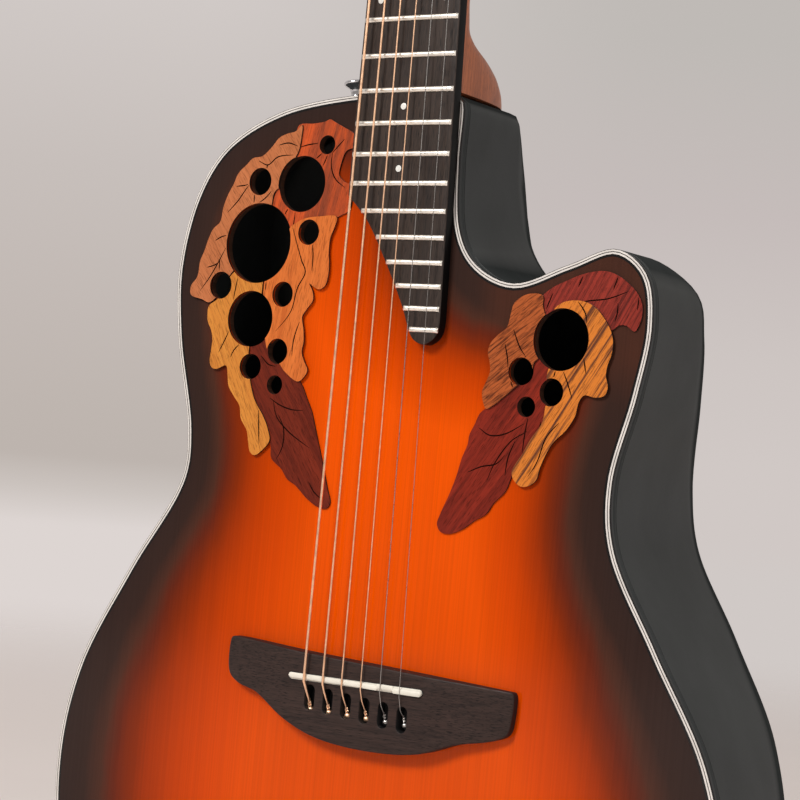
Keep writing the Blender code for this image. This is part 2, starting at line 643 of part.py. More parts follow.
def fret_left_end(z):
    """Where a fret stops on the bass side: at the board's edge, or at its slanted end."""
    slant = sorted((pz * MM, px * MM) for px, pz in BOARD_END[5:])
    edge = -board_half_width(z)
    if z > slant[-1][0]:
        return edge
    return float(np.interp(z, [pz for pz, _ in slant], [px for _, px in slant]))


def make_fingerboard():
    """The board with the crowns of its frets standing on it."""
    end = [(x * MM, z * MM) for x, z in BOARD_END]
    outline = [(-BOARD_HALF_AT_NUT, -0.3 * MM), (BOARD_HALF_AT_NUT, -0.3 * MM), *end]
    board = plate("fingerboard", [outline], -BOARD_TOP, -GAP, "rosewood")
    shape = bmesh.new()
    crown_y = -BOARD_TOP + 0.2 * MM
    for number in range(1, FRET_COUNT + 1):
        z = fret_z(number)
        left = fret_left_end(z) + 0.7 * MM
        right = board_half_width(z) - 0.7 * MM
        add_cylinder(shape, FRET_HEIGHT + 0.2 * MM, (left, crown_y, z), (right, crown_y, z), 8)
    return boolean(board, object_from("fret_crowns", shape, None), "UNION")


def make_nut():
    low = (-BOARD_HALF_AT_NUT, -STRING_OVER_NUT + GAP, GAP)
    bevel(box("nut", low, (BOARD_HALF_AT_NUT, -GAP, 5.0 * MM), "bone"), 0.6 * MM)


def string_places():
    """Each string's x at the nut and at the saddle, bass to treble."""
    shares = [i / 5 - 0.5 for i in range(6)]
    return [(NUT_SPREAD * share, SADDLE_SPREAD * share) for share in shares]


def oblong(x, z, half_width, half_length, sides=12):
    """A slot's outline with round ends, along Z."""
    points = []
    for i in range(sides):
        turn = 2 * math.pi * (i + 0.5) / sides
        end = math.copysign(half_length - half_width, math.sin(turn))
        points.append((x + half_width * math.cos(turn), z + end + half_width * math.sin(turn)))
    return points


def saddle_frame():
    return Matrix.Translation((0.7 * MM, 0, SADDLE_Z)) @ Matrix.Rotation(math.radians(-1.0), 4, "Y")


def make_bridge():
    """A plate that thins towards its two ends, with a slot at each string and a groove for the saddle."""
    bridge = plate("bridge", [smooth_loop(BRIDGE_OUTLINE, 60)], -BRIDGE_THICK, -GAP, "rosewood")
    bevel(bridge, 0.8 * MM, degrees=60)
    for side in (-1, 1):
        slope = Matrix.Translation((side * WING_FROM, -BRIDGE_THICK, 0))
        slope = slope @ Matrix.Rotation(side * WING_SLOPE, 4, "Z")
        low, high = sorted((side * -5 * MM, side * 60 * MM))
        boolean(bridge, box("bridge_wing_cutter", (low, -8 * MM, -700 * MM), (high, 0, -600 * MM), None,
                            slope))
    slots = [oblong(0.978 * x + 1.9 * MM, -654.8 * MM - 0.06 * x, 2.9 * MM, 6.2 * MM)
             for _, x in string_places()]
    shape = bmesh.new()
    for outline in slots:
        one = plate("one_slot", [outline], -12 * MM, 1 * MM, None)
        copy = one.data.copy()
        copy.transform(one.matrix_world)
        shape.from_mesh(copy)
        bpy.data.objects.remove(one)
    boolean(bridge, object_from("bridge_slots", shape, None))
    groove = box("saddle_groove", (-39.2 * MM, -12 * MM, -1.9 * MM), (39.2 * MM, -4.7 * MM, 1.9 * MM),
                 None, saddle_frame())
    boolean(bridge, groove)
    saddle = plate("saddle", [[(z, x) for x, z in oblong(0, 0, 1.6 * MM, 38.8 * MM)]],
                   -STRING_OVER_SADDLE + 0.5 * MM, -5.0 * MM, "bone", saddle_frame())
    bevel(saddle, 0.4 * MM, degrees=60)


# Tuners


def tuner_places():
    """(name, side, x, z) of each post in the headstock's frame, in string order from bass to treble."""
    names = ["bass_1", "bass_2", "bass_3", "treble_3", "treble_2", "treble_1"]
    rows = POST_ROWS + POST_ROWS[::-1]
    return [(name, -1 if i < 3 else 1, POST_X * (-1 if i < 3 else 1), rows[i])
            for i, name in enumerate(names)]


def tuner_hole_cutter(frame):
    shape = bmesh.new()
    for _, _, x, z in tuner_places():
        add_cylinder(shape, 5.0 * MM, (x, -8 * MM, z), (x, 20 * MM, z), 12)
    return object_from("tuner_holes", shape, None, frame)


def tuner_frame(frame, side, x, z):
    """At the post's axis, with +X outwards to the key and +Y towards the back."""
    turn = Matrix.Identity(4) if side > 0 else Matrix.Rotation(math.pi, 4, "Y")
    return frame @ Matrix.Translation((x, 0, z)) @ turn


def make_tuner_housing(name, frame, lift):
    """A gear case on the headstock's back, with its bushing through the headstock to the front."""
    back = HEAD_THICK + GAP
    low_z, high_z = (-7.6 * MM, 13.2 * MM) if lift > 0 else (-13.2 * MM, 7.6 * MM)
    housing = box("tuner_housing_" + name, (-9 * MM, back, low_z), (9.4 * MM, back + 11.6 * MM, high_z),
                  "chrome", frame)
    washer_y = -GAP * 2 - OVERLAY_THICK
    bushing = bmesh.new()
    add_cylinder(bushing, 4.6 * MM, (0, washer_y - 0.8 * MM, 0), (0, back + 0.6 * MM, 0), 12)
    boolean(housing, object_from("bushing_" + name, bushing, None, frame), "UNION")
    washer = cylinder("washer_" + name, 7.0 * MM, (0, washer_y - 2 * MM, 0), (0, washer_y, 0), None, 12,
                      frame)
    boolean(housing, washer, "UNION")
    wall = 1.5 * MM
    cavity = box("gear_space_" + name, (-7.2 * MM, back + wall, low_z + wall),
                 (7.6 * MM, back + 10.2 * MM, high_z - wall), None, frame)
    boolean(housing, cavity)
    boolean(housing, cylinder("post_bore_" + name, POST_RADIUS + 0.4 * MM, (0, -9 * MM, 0),
                              (0, back + 5 * MM, 0), None, 12, frame))
    boolean(housing, cylinder("shaft_bore_" + name, 2.4 * MM, (0, KEY_AXIS_Y, lift),
                              (14 * MM, KEY_AXIS_Y, lift), None, 10, frame))


def make_tuner_post(name, frame):
    post = cylinder("tuner_post_" + name, POST_RADIUS, (0, -POST_TOP, 0), (0, 23.4 * MM, 0), "chrome",
                    12, frame)
    gear = cylinder("gear_" + name, 4.7 * MM, (0, KEY_AXIS_Y - 2 * MM, 0), (0, KEY_AXIS_Y + 2 * MM, 0),
                    None, 14, frame)
    return boolean(post, gear, "UNION")


def make_tuner_key(name, frame, lift):
    """The key's button, its shaft and the worm, turning about an axis across the headstock."""
    axis_frame = frame @ Matrix.Translation((0, KEY_AXIS_Y, lift))
    shape = bmesh.new()
    add_cylinder(shape, 2.0 * MM, (5 * MM, 0, 0), (26 * MM, 0, 0), 10)
    key = object_from("tuner_key_" + name, shape, "chrome", axis_frame)
    worm = cylinder("worm_" + name, 2.7 * MM, (-6.4 * MM, 0, 0), (6.6 * MM, 0, 0), None, 10, axis_frame)
    boolean(key, worm, "UNION")
    knob = bmesh.new()
    bmesh.ops.create_uvsphere(knob, u_segments=12, v_segments=8, radius=1.0)
    size = Matrix.Diagonal((8 * MM, 4.8 * MM, 10 * MM, 1))
    bmesh.ops.transform(knob, verts=knob.verts, matrix=Matrix.Translation((31.5 * MM, 0, 0)) @ size)
    boolean(key, object_from("key_button_" + name, knob, None, axis_frame), "UNION")
    return smooth_shading(key)


def make_tuners(frame):
    for name, side, x, z in tuner_places():
        own = tuner_frame(frame, side, x, z)
        lift = side * KEY_OFFSET
        make_tuner_housing(name, own, lift)
        make_tuner_post(name, own)
        make_tuner_key(name, own, lift)


# Strings


def string_route(number, frame):
    """From the slot behind the saddle, over saddle and nut, and round the tuner's post."""
    radius = STRING_DIAMETERS[number] * MM / 2
    nut_x, saddle_x = string_places()[number]
    _, side, post_x, post_z = tuner_places()[number]
    route = [
        (saddle_x + 1.2 * MM, -3.6 * MM, -658.0 * MM),
        (saddle_x + 0.8 * MM, -BRIDGE_THICK - GAP - radius, -650.6 * MM - 0.06 * saddle_x),
        (saddle_x, -STRING_OVER_SADDLE + 0.1 * MM - radius, SADDLE_Z - 2.6 * MM),
        (saddle_x, -STRING_OVER_SADDLE - radius, SADDLE_Z + 1.5 * MM),
        (nut_x, -STRING_OVER_NUT - radius, 0.2 * MM),
        (nut_x, -STRING_OVER_NUT - radius, 5.2 * MM),
    ]
    wrap = POST_RADIUS + radius + 0.35 * MM
    inner = -side
    steps, turns = 8, 1.25
    for i in range(int(steps * turns) + 1):
        turn = 2 * math.pi * i / steps
        height = WRAP_HEIGHT - (2 * radius + 0.4 * MM) * i / steps
        local = (post_x + inner * wrap * math.cos(turn), -height, post_z + wrap * math.sin(turn))
        route.append(frame @ Vector(local))
    return route


def make_strings(frame):
    names = ["string_low_e", "string_a", "string_d", "string_g", "string_b", "string_high_e"]
    for number, name in enumerate(names):
        finish = "bronze_string" if number < 4 else "steel"
        tube(name, string_route(number, frame), STRING_DIAMETERS[number] * MM / 2, finish)


# Things fixed to the bowl's wall


def wall_frame(at, y, along=0.0):
    """On the bowl's wall near a point of the outline: +Z outwards, +Y back, +X along the wall."""
    fine = smooth_loop(BODY_OUTLINE, 1600)
    step = np.linalg.norm(fine[1] - fine[0])
    nearest = int(np.argmin(np.linalg.norm(fine - at, axis=1)))
    index = (nearest + int(round(along / step))) % len(fine)
    normal = outward_normals(fine)[index]
    out = Vector((normal[0], 0, normal[1]))
    back = Vector((0, 1, 0))
    across = back.cross(out)
    x, z = fine[index]
    frame = Matrix((across, back, out)).transposed().to_4x4()
    frame.translation = (x, y, z)
    return frame


def control_frame(along):
    return wall_frame(PREAMP_AT, sum(PREAMP_Y) / 2, along)


def bent_block(name, half_length, half_y, low, high, finish):
    """A block bent to follow the wall round the preamp's middle, between two heights above the wall."""
    shape = bmesh.new()
    rows = []
    for share in np.linspace(-1, 1, 11):
        frame = control_frame(half_length * share)
        corners = [(-half_y, low), (half_y, low), (half_y, high), (-half_y, high)]
        rows.append([shape.verts.new(frame @ Vector((0, y, out))) for y, out in corners])
    for row, following in zip(rows, rows[1:]):
        for i in range(4):
            j = (i + 1) % 4
            shape.faces.new((row[i], row[j], following[j], following[i]))
    shape.faces.new(rows[0])
    shape.faces.new(rows[-1])
    bmesh.ops.recalc_face_normals(shape, faces=shape.faces)
    return object_from(name, shape, finish)


def make_preamp():
    """A panel bent to the wall, in front of its case, with sockets for the controls."""
    half_y = (PREAMP_Y[1] - PREAMP_Y[0]) / 2
    panel = bent_block("preamp_panel", PREAMP_LENGTH / 2, half_y, GAP, PREAMP_PROUD, "black_plastic")
    case = bent_block("preamp_case", CASE_HALF_LENGTH, CASE_HALF_Y, -20 * MM, 1 * MM, None)
    boolean(panel, case, "UNION")
    for name, along in SLIDER_PLACES.items():
        half_slot = SLIDER_TRAVEL + 2 * MM
        boolean(panel, box(name + "_slot", (-1.1 * MM, -half_slot, -3 * MM),
                           (1.1 * MM, half_slot, 6 * MM), None, control_frame(along)))
    boolean(panel, cylinder("knob_socket", 2.4 * MM, (0, 0, -4 * MM), (0, 0, 6 * MM), None, 16,
                            control_frame(KNOB_PLACE)))
    socket_floor = -1.4 * MM - BUTTON_TRAVEL - GAP
    boolean(panel, box("button_socket", (-3.1 * MM, -3.1 * MM, socket_floor),
                       (3.1 * MM, 3.1 * MM, 6 * MM), None, control_frame(BUTTON_PLACE)))


def make_preamp_controls():
    for name, along in SLIDER_PLACES.items():
        frame = control_frame(along)
        stem = box(name, (-0.8 * MM, -1.6 * MM, -2.4 * MM), (0.8 * MM, 1.6 * MM, 3.4 * MM),
                   "black_plastic", frame)
        cap = box(name + "_cap", (-3.2 * MM, -2.4 * MM, 2.4 * MM), (3.2 * MM, 2.4 * MM, 5.6 * MM), None,
                  frame)
        boolean(stem, cap, "UNION")
    frame = control_frame(KNOB_PLACE)
    profile = [(0, 9.4), (5.4, 9.4), (6.2, 8.8), (6.6, 2.6), (2.0, 2.6), (2.0, -3.4), (0, -3.4)]
    turned("volume_knob", [(r * MM, h * MM) for r, h in profile], "black_plastic", frame)
    button = box("tuner_button", (-2.7 * MM, -2.7 * MM, -1.4 * MM), (2.7 * MM, 2.7 * MM, 3.6 * MM),
                 "black_plastic", control_frame(BUTTON_PLACE))
    bevel(button, 0.5 * MM)


def preamp_hole():
    return bent_block("preamp_hole", CASE_HALF_LENGTH + 2 * GAP, CASE_HALF_Y + 2 * GAP, -10 * MM, 6 * MM,
                      None)


STRAP_PROFILE = [(0, 12.6), (5.4, 12.6), (7.0, 11.6), (7.0, 10.2), (4.2, 8.4), (3.6, 5.0), (4.6, 2.0),
                 (6.6, 0.4), (6.6, 0), (0, 0)]


def make_strap_button(name, frame):
    profile = [(radius * MM, height * MM + GAP) for radius, height in STRAP_PROFILE]
    return smooth_shading(turned(name, profile, "chrome", frame, 16), 40)


def tail_frame(x, y):
    """On the tail of the bowl, with +Z pointing down out of it."""
    return Matrix.Translation((x, y, TAIL_Z)) @ Matrix.Rotation(math.pi, 4, "X")


def make_output_jack():
    frame = tail_frame(36 * MM, 26 * MM)
    shell = [(0, 2.6), (9.0, 2.6), (10.4, 1.6), (10.4, 0.3), (5.9, 0.3), (5.9, -26), (0, -26)]
    jack = turned("output_jack", [(r * MM, h * MM) for r, h in shell], "chrome", frame, 24)
    socket = cylinder("jack_socket", 3.3 * MM, (0, 0, -30 * MM), (0, 0, 6 * MM), None, 16, frame)
    return boolean(jack, socket)


def jack_hole():
    return cylinder("jack_hole", 6.4 * MM, (0, 0, -14 * MM), (0, 0, 8 * MM), None, 20,
                    tail_frame(36 * MM, 26 * MM))


ACCESS_AT = (-2.0 * MM, -655.0 * MM)


def back_frame():
    """On the middle of the bowl's back, with +Z pointing out of it."""
    x, z = ACCESS_AT
    depth = max(value for _, value in BACK_DEPTH) * MM
    return Matrix.Translation((x, depth, z)) @ Matrix.Rotation(-math.pi / 2, 4, "X")


def make_access_cover():
    profile = [(0, 3.2), (40, 3.0), (54, 2.4), (56.5, 1.6), (56.5, 0.6), (0, 0.6)]
    turned("access_cover", [(r * MM, h * MM) for r, h in profile], "black_plastic", back_frame(), 36)


def access_hole():
    return cylinder("access_hole", 47 * MM, (0, 0, -20 * MM), (0, 0, 10 * MM), None, 36, back_frame())


def main():
    frame = head_frame()
    holes = sound_hole_cutter()
    make_soundboard(holes)
    make_binding()
    make_leaves(holes)
    make_bowl([preamp_hole(), jack_hole(), access_hole()])
    make_inner_woodwork()
    tuner_holes = tuner_hole_cutter(frame)
    channel, pocket = truss_rod_cutters(frame)
    make_neck(frame, [tuner_holes, channel, pocket])
    make_truss_rod()
    make_head_overlay(frame, [tuner_holes, pocket])
    make_fingerboard()
    make_nut()
    make_bridge()
    make_tuners(frame)
    make_strings(frame)
    make_preamp()
    make_preamp_controls()
    make_strap_button("strap_button_tail", tail_frame(0.0, 26 * MM))
    shoulder = wall_frame(np.array([-47.0, -357.0]) * MM, 22 * MM)
    make_strap_button("strap_button_shoulder", shoulder)
    make_output_jack()
    make_access_cover()


main()
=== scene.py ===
"""Looks of the bowl-back acoustic guitar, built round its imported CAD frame.

Metres, +Z up along the neck, the soundboard faces -Y and +X is the treble side. Outlines repeat the CAD's,
and body_loop says where the body's edge differs from it.
"""

import json
import math

import bmesh
import bpy
import numpy as np
from mathutils import Matrix, Vector, geometry

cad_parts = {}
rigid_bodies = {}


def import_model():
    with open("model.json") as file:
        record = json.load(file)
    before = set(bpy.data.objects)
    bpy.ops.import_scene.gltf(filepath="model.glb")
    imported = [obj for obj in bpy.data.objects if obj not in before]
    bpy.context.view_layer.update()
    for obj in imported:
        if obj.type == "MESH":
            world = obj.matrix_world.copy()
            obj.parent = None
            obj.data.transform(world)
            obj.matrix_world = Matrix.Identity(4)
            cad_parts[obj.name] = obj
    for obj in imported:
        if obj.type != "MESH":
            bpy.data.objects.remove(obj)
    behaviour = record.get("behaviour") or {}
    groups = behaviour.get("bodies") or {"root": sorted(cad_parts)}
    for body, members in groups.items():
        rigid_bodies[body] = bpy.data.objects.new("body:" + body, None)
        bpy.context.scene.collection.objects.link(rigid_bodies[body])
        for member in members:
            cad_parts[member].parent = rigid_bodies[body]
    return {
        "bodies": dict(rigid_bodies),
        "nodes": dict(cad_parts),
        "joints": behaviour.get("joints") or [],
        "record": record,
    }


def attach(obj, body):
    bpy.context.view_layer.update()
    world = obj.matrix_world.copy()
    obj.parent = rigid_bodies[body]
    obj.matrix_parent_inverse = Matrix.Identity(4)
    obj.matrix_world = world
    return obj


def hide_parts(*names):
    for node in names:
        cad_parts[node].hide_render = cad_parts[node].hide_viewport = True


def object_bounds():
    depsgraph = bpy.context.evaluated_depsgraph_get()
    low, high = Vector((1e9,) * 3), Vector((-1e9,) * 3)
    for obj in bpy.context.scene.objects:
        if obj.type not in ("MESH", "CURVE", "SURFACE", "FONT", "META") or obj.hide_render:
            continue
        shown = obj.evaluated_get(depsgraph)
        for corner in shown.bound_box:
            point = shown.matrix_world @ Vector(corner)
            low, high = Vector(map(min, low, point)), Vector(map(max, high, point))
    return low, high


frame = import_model()
CAD_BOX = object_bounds()

MM = 0.001
GAP = 0.3 * MM
ROOT = "guitar"  # the body that carries everything that doesn't move

# Dimensions shared with the CAD
SCALE_LENGTH = 641.35 * MM
FRET_COUNT = 23
STRINGS = {  # diameter in mm, bass to treble
    "string_low_e": 1.35, "string_a": 1.07, "string_d": 0.81, "string_g": 0.61,
    "string_b": 0.406, "string_high_e": 0.305,
}
WOUND_STRINGS = 4
NUT_SPREAD = 36.3 * MM
SADDLE_SPREAD = 55.35 * MM
BOARD_HALF_AT_NUT = 21.5 * MM
BOARD_TAPER = 0.019
BOARD_TOP = 6.4 * MM
BOARD_RADIUS = 700.0 * MM  # curve across the fingerboard
FRET_HEIGHT = 1.1 * MM
STRING_OVER_NUT = 8.3 * MM
STRING_OVER_SADDLE = 10.2 * MM
SADDLE_Z = -643.2 * MM
BRIDGE_THICK = 8.7 * MM
WING_FROM = 40.0 * MM  # the bridge thins from here to its ends
WING_SLOPE = math.atan(0.1)
TAIL_Z = -847.0 * MM
BOARD_THICK = 3.0 * MM
BINDING_WIDTH = 3.6 * MM
BOWL_CENTRE = np.array([-2.0, -560.0]) * MM
BOWL_SQUARENESS = 5.0
LEAF_THICK = 0.6 * MM
HEAD_ANGLE = math.radians(13.0)
HEAD_START_Z = 5.6 * MM
HEAD_THICK = 14.0 * MM
OVERLAY_THICK = 2.0 * MM
POST_X = 21.0 * MM
POST_ROWS = [45.0 * MM, 88.0 * MM, 131.0 * MM]
POST_RADIUS = 3.0 * MM
KEY_AXIS_Y = 19.8 * MM
KEY_OFFSET = 7.7 * MM
WRAP_HEIGHT = 8.6 * MM
PREAMP_AT = np.array([-112.0, -381.0]) * MM
SHOULDER_AT = np.array([-47.0, -357.0]) * MM  # the shoulder's strap button
PREAMP_LENGTH = 66.0 * MM
PREAMP_Y = (14.0 * MM, 52.0 * MM)
PREAMP_PROUD = 2.0 * MM
SLIDER_PLACES = {"slider_bass": -24.0 * MM, "slider_middle": -14.0 * MM, "slider_treble": -4.0 * MM}
SLIDER_HALF_SLOT = 10.0 * MM
KNOB_PLACE = 10.0 * MM
BUTTON_PLACE = 25.0 * MM

# Outlines in millimetres as (x, z), each joined by a smooth curve
BODY_OUTLINE = [
    (27.2, -361), (24.5, -356.8), (19, -356), (-26, -356), (-34, -356.1), (-78, -363.3), (-112, -381),
    (-128.5, -405), (-137.3, -443), (-134.3, -479.6), (-122.4, -529), (-123.6, -553), (-153.7, -602.5),
    (-183.4, -657.8), (-193, -708), (-186, -758), (-152, -811), (-95, -839), (-40, -846.4), (0, -847),
    (40, -846.4), (95, -839), (153, -811), (188, -758), (195, -706), (183.2, -657.2), (154.4, -609.2),
    (129.4, -566), (126, -537), (135.2, -496.4), (139.8, -464), (134.8, -441), (117.5, -430),
    (94.4, -437.6), (65.5, -447), (43.5, -438), (30.8, -419.6), (27.5, -390),
]
BRIDGE_OUTLINE = [
    (-79, -631), (-78.2, -629.8), (-73, -629.5), (-35, -631.5), (30, -634), (82.5, -636.2), (85.2, -636.4),
    (86, -637.3), (86, -648), (84.1, -656), (76, -660), (59, -664), (38, -671.5), (8, -674.2),
    (-22, -671.8), (-42, -664.8), (-59.7, -655.2), (-72.2, -652.2), (-78.5, -647.5),
]
BOARD_END = [
    (30.3, -466), (29.9, -471), (27.9, -475.2), (22.6, -478.4), (18, -477.4), (14.8, -474.8), (8.1, -460),
    (-3.2, -439.5), (-16.4, -419.2), (-28.9, -407),
]
# The headstock's right half, from the nut upwards in its own leaning frame
HEAD_HALF = [(22.3, -14), (22.6, 0), (24, 9), (30, 20), (35.2, 27), (37, 40), (38.5, 90),
             (39.5, 140), (38, 160), (29, 173), (13, 178.5), (0, 180)]
SOUND_HOLES = [  # x, z and radius
    (-85.1, -430.9, 20.4), (-61.1, -400.6, 14.2), (-86.3, -469.5, 14.2), (94.5, -472.7, 14.5),
    (-47.5, -381, 4.8), (-87, -399.5, 7), (-54, -425, 6.4), (-107, -453, 7), (-67, -456.5, 6.4),
    (-67.5, -485.3, 6.4), (-84, -493.7, 6.4), (-68, -502.2, 4.8), (74.5, -488.3, 6.5), (91.5, -497.2, 6.5),
    (78.5, -504.6, 4.8),
]
LOWER_LEAVES = {
    "leaf_bass_top": [
        (-66, -370.9), (-57, -370.2), (-50, -369.3), (-47, -368.2), (-44, -369.6), (-37.7, -372.6),
        (-33, -374.8), (-30.3, -377.5), (-30.4, -382), (-35.6, -384.2), (-38.3, -391), (-38.8, -396.2),
        (-35.2, -399.5), (-30.8, -401.6), (-31, -413.6), (-36, -416.4), (-42, -419.5), (-55, -421),
        (-66, -424), (-74, -420), (-81, -411), (-80, -403), (-70, -388), (-68, -378),
    ],
    "leaf_bass_lower": [
        (-51, -501.5), (-47.3, -507.9), (-43.9, -513.9), (-39.2, -526.4), (-36.2, -534.5), (-30.5, -551),
        (-28.1, -558), (-29.4, -560.9), (-33.5, -561.4), (-41.3, -558), (-50.2, -551.3), (-55.5, -548.6),
        (-59.2, -544.2), (-66.2, -539), (-67.4, -532.5), (-72, -524), (-81, -512), (-87, -500),
        (-88.5, -489), (-85, -479), (-76, -479.5), (-66, -487),
    ],
    "leaf_treble_top": [
        (83.4, -451.8), (88, -448.5), (94.5, -445.5), (101, -442.8), (108, -441), (115, -440.6),
        (121, -442.4), (126.5, -445.8), (131, -449.7), (134.2, -455.2), (134.5, -460.5), (133, -465.5),
        (131.4, -467.5), (127, -465), (123.5, -465), (119, -467.6), (112, -464), (102, -462), (90, -463),
        (82, -461), (79.6, -456),
    ],
    "leaf_treble_lower": [
        (57.5, -506), (53.6, -509.5), (51.6, -514.2), (49, -519.6), (48.5, -524), (46, -530.5),
        (43.5, -540), (40.5, -548.5), (36.4, -558), (35, -563), (37.2, -566.4), (42, -567), (49.5, -564),
        (55.5, -559.6), (61.5, -556), (65.2, -550.5), (71, -544.5), (73.2, -538.8), (76, -531), (84, -521),
        (91, -508), (93, -494), (88, -480), (80, -479), (75, -490), (64, -501),
    ],
}
UPPER_LEAVES = {
    "leaf_bass_outer": [
        (-63.5, -371), (-67, -374), (-72.5, -375.3), (-77.2, -377.3), (-81.5, -382), (-87, -386.5),
        (-93, -387.6), (-96.6, -390.8), (-101.5, -395.2), (-104.2, -401), (-107.4, -406.8), (-109.6, -413),
        (-110.8, -420.2), (-115, -424), (-117.6, -429.2), (-119.7, -435.6), (-121.9, -440.8),
        (-122.9, -448.8), (-126.6, -453.9), (-126.3, -458.3), (-118.5, -460.6), (-113.5, -462),
        (-107.5, -457), (-100.8, -446.6), (-94, -440), (-86, -425), (-79, -413), (-77.5, -405),
        (-70, -399), (-67, -389), (-64.4, -384), (-63.4, -377),
    ],
    "leaf_bass_inner": [
        (-65.5, -422.6), (-61.5, -420), (-56.5, -418), (-48, -417), (-37.6, -417.1), (-38.1, -421.5),
        (-40.3, -427.5), (-40.7, -434.3), (-39.8, -441), (-40, -447.5), (-41.3, -451.6), (-44.6, -453.4),
        (-48.2, -452.2), (-51, -450.6), (-48.6, -454.5), (-47.9, -458.9), (-51.3, -463.6), (-53.6, -467.4),
        (-52.2, -474), (-51.5, -480), (-52.2, -485), (-50.2, -489.6), (-47.8, -493.9), (-49.8, -497.7),
        (-53.2, -499.8), (-61.7, -495.2), (-66, -491), (-73, -486), (-75.5, -480), (-78, -466),
        (-79.2, -454.5), (-78.5, -447), (-70, -432),
    ],
    "leaf_bass_left": [
        (-97, -444.6), (-102.2, -449.6), (-108, -459.8), (-113.6, -463.8), (-114.2, -468),
        (-113.4, -472.2), (-111, -476), (-109.6, -481), (-109.8, -486.6), (-110.1, -492.4),
        (-108.2, -495.6), (-105, -496), (-99.2, -494), (-97.6, -499.4), (-96.4, -504.5), (-92.3, -509.6),
        (-88.5, -513.9), (-86.8, -520.5), (-82.5, -526.2), (-80.8, -532.6), (-79.2, -537), (-76.2, -538.3),
        (-71.4, -535.1), (-67.7, -530.2), (-69.4, -524.5), (-72.8, -518.5), (-79.1, -510.5),
        (-82.1, -503.7), (-84.6, -495), (-85.4, -485), (-84, -476), (-81, -464), (-80.2, -454.5),
        (-81, -446), (-89, -443),
    ],
    "leaf_treble_inner": [
        (83.2, -452.8), (77.5, -451.9), (72, -453.5), (68, -457), (67, -460.5), (65.2, -468.2),
        (60.6, -472), (57, -476), (56, -480.2), (57.4, -485), (58, -489.2), (56.4, -494), (54.6, -498.5),
        (55.4, -503.2), (57.6, -506.8), (62, -504.4), (68, -499.5), (75, -493.6), (80.4, -488.8),
        (81.4, -484), (86, -480), (90, -470), (85.5, -462), (83.6, -457.5),
    ],
    "leaf_treble_outer": [
        (89.5, -459.6), (93.6, -455.8), (99, -454.5), (105, -454.8), (110.5, -457), (115, -461),
        (119.5, -467), (121.4, -472.4), (121.2, -478.4), (119.6, -483.4), (119.2, -488.2), (120.6, -493.2),
        (119.2, -497.2), (114.5, -498.3), (109, -497.6), (106.5, -500.6), (105, -507.5), (101, -514),
        (94.5, -520.5), (91, -526.8), (88.7, -533), (87.4, -538), (83.8, -540.9), (79.5, -541.6),
        (75.6, -539), (74.1, -535.4), (75.6, -531.8), (79, -526.5), (83, -519), (88, -511.6), (89.2, -500),
        (88.6, -490), (91, -480), (93, -468),
    ],
}
# Veins engraved in each leaf: smooth lines through (x, z) points
LEAF_VEINS = {
    "leaf_bass_top": [
        [(-64, -382), (-60, -381), (-52, -380)], [(-44, -385), (-41, -382), (-37, -378)],
        [(-44, -385), (-44, -392), (-41, -398), (-34, -403)], [(-50, -385), (-54, -388), (-57, -389)],
        [(-47, -386), (-48, -389), (-50, -393)], [(-75, -401), (-77, -404), (-79, -410)],
        [(-64, -415), (-64, -423), (-61, -421), (-57, -420)], [(-71, -417), (-68, -412)],
    ],
    "leaf_bass_outer": [
        [(-77, -381), (-71, -380), (-64, -382)], [(-89, -389), (-83, -391), (-77, -387), (-65, -386)],
        [(-83, -391), (-85, -395)], [(-102, -402), (-95, -401), (-92, -399)],
        [(-93, -400), (-97, -405), (-100, -409), (-107, -416)], [(-90, -406), (-90, -411)],
        [(-88, -411), (-83, -408), (-79, -404)], [(-113, -430), (-109, -428), (-104, -427)],
        [(-104, -430), (-107, -436), (-114, -448), (-121, -457)],
        [(-117, -444), (-113, -443), (-109, -441)], [(-109, -440), (-109, -447)],
    ],
    "leaf_bass_inner": [
        [(-64, -423), (-61, -430), (-57, -439), (-54, -445), (-58, -453), (-61, -465), (-71, -477)],
        [(-55, -470), (-57, -476), (-58, -482), (-58, -488)], [(-51, -431), (-50, -437), (-50, -445)],
        [(-78, -449), (-78, -455)],
    ],
    "leaf_bass_left": [
        [(-96, -447), (-98, -460), (-99, -475), (-105, -488)], [(-92, -483), (-95, -486), (-97, -490)],
        [(-76, -515), (-75, -524), (-74, -533)],
    ],
    "leaf_bass_lower": [
        [(-70, -509), (-64, -512), (-56, -514), (-48, -514)],
        [(-68, -510), (-65, -518), (-57, -525), (-42, -533)],
        [(-64, -517), (-60, -524), (-60, -533), (-64, -541)], [(-42, -549), (-38, -554), (-33, -557)],
        [(-78, -488), (-73, -492), (-68, -493)],
    ],
    "leaf_treble_top": [
        [(96, -459), (104, -455), (117, -453), (128, -449)], [(122, -455), (122, -459), (121, -464)],
        [(129, -446), (132, -451), (132, -458)], [(101, -448), (103, -443)], [(85, -459), (88, -451)],
        [(121, -443), (119, -449)],
    ],
    "leaf_treble_inner": [
        [(69, -469), (73, -477), (79, -484)], [(65, -476), (67, -483), (68, -491)],
        [(69, -492), (72, -497), (78, -499)],
    ],
    "leaf_treble_outer": [
        [(102, -455), (106, -460), (108, -468)], [(107, -480), (109, -488)],
        [(97, -487), (100, -493), (103, -500)], [(93, -487), (92, -492)],
        [(97, -511), (91, -518), (87, -530), (82, -538)],
    ],
    "leaf_treble_lower": [
        [(54, -516), (60, -519), (68, -518), (79, -512)], [(80, -516), (72, -521), (64, -532), (60, -542)],
        [(80, -509), (79, -517), (78, -532)], [(50, -537), (57, -534), (65, -532), (70, -527)],
        [(74, -521), (71, -529), (70, -538)], [(87, -511), (86, -520), (84, -530)],
    ],
}
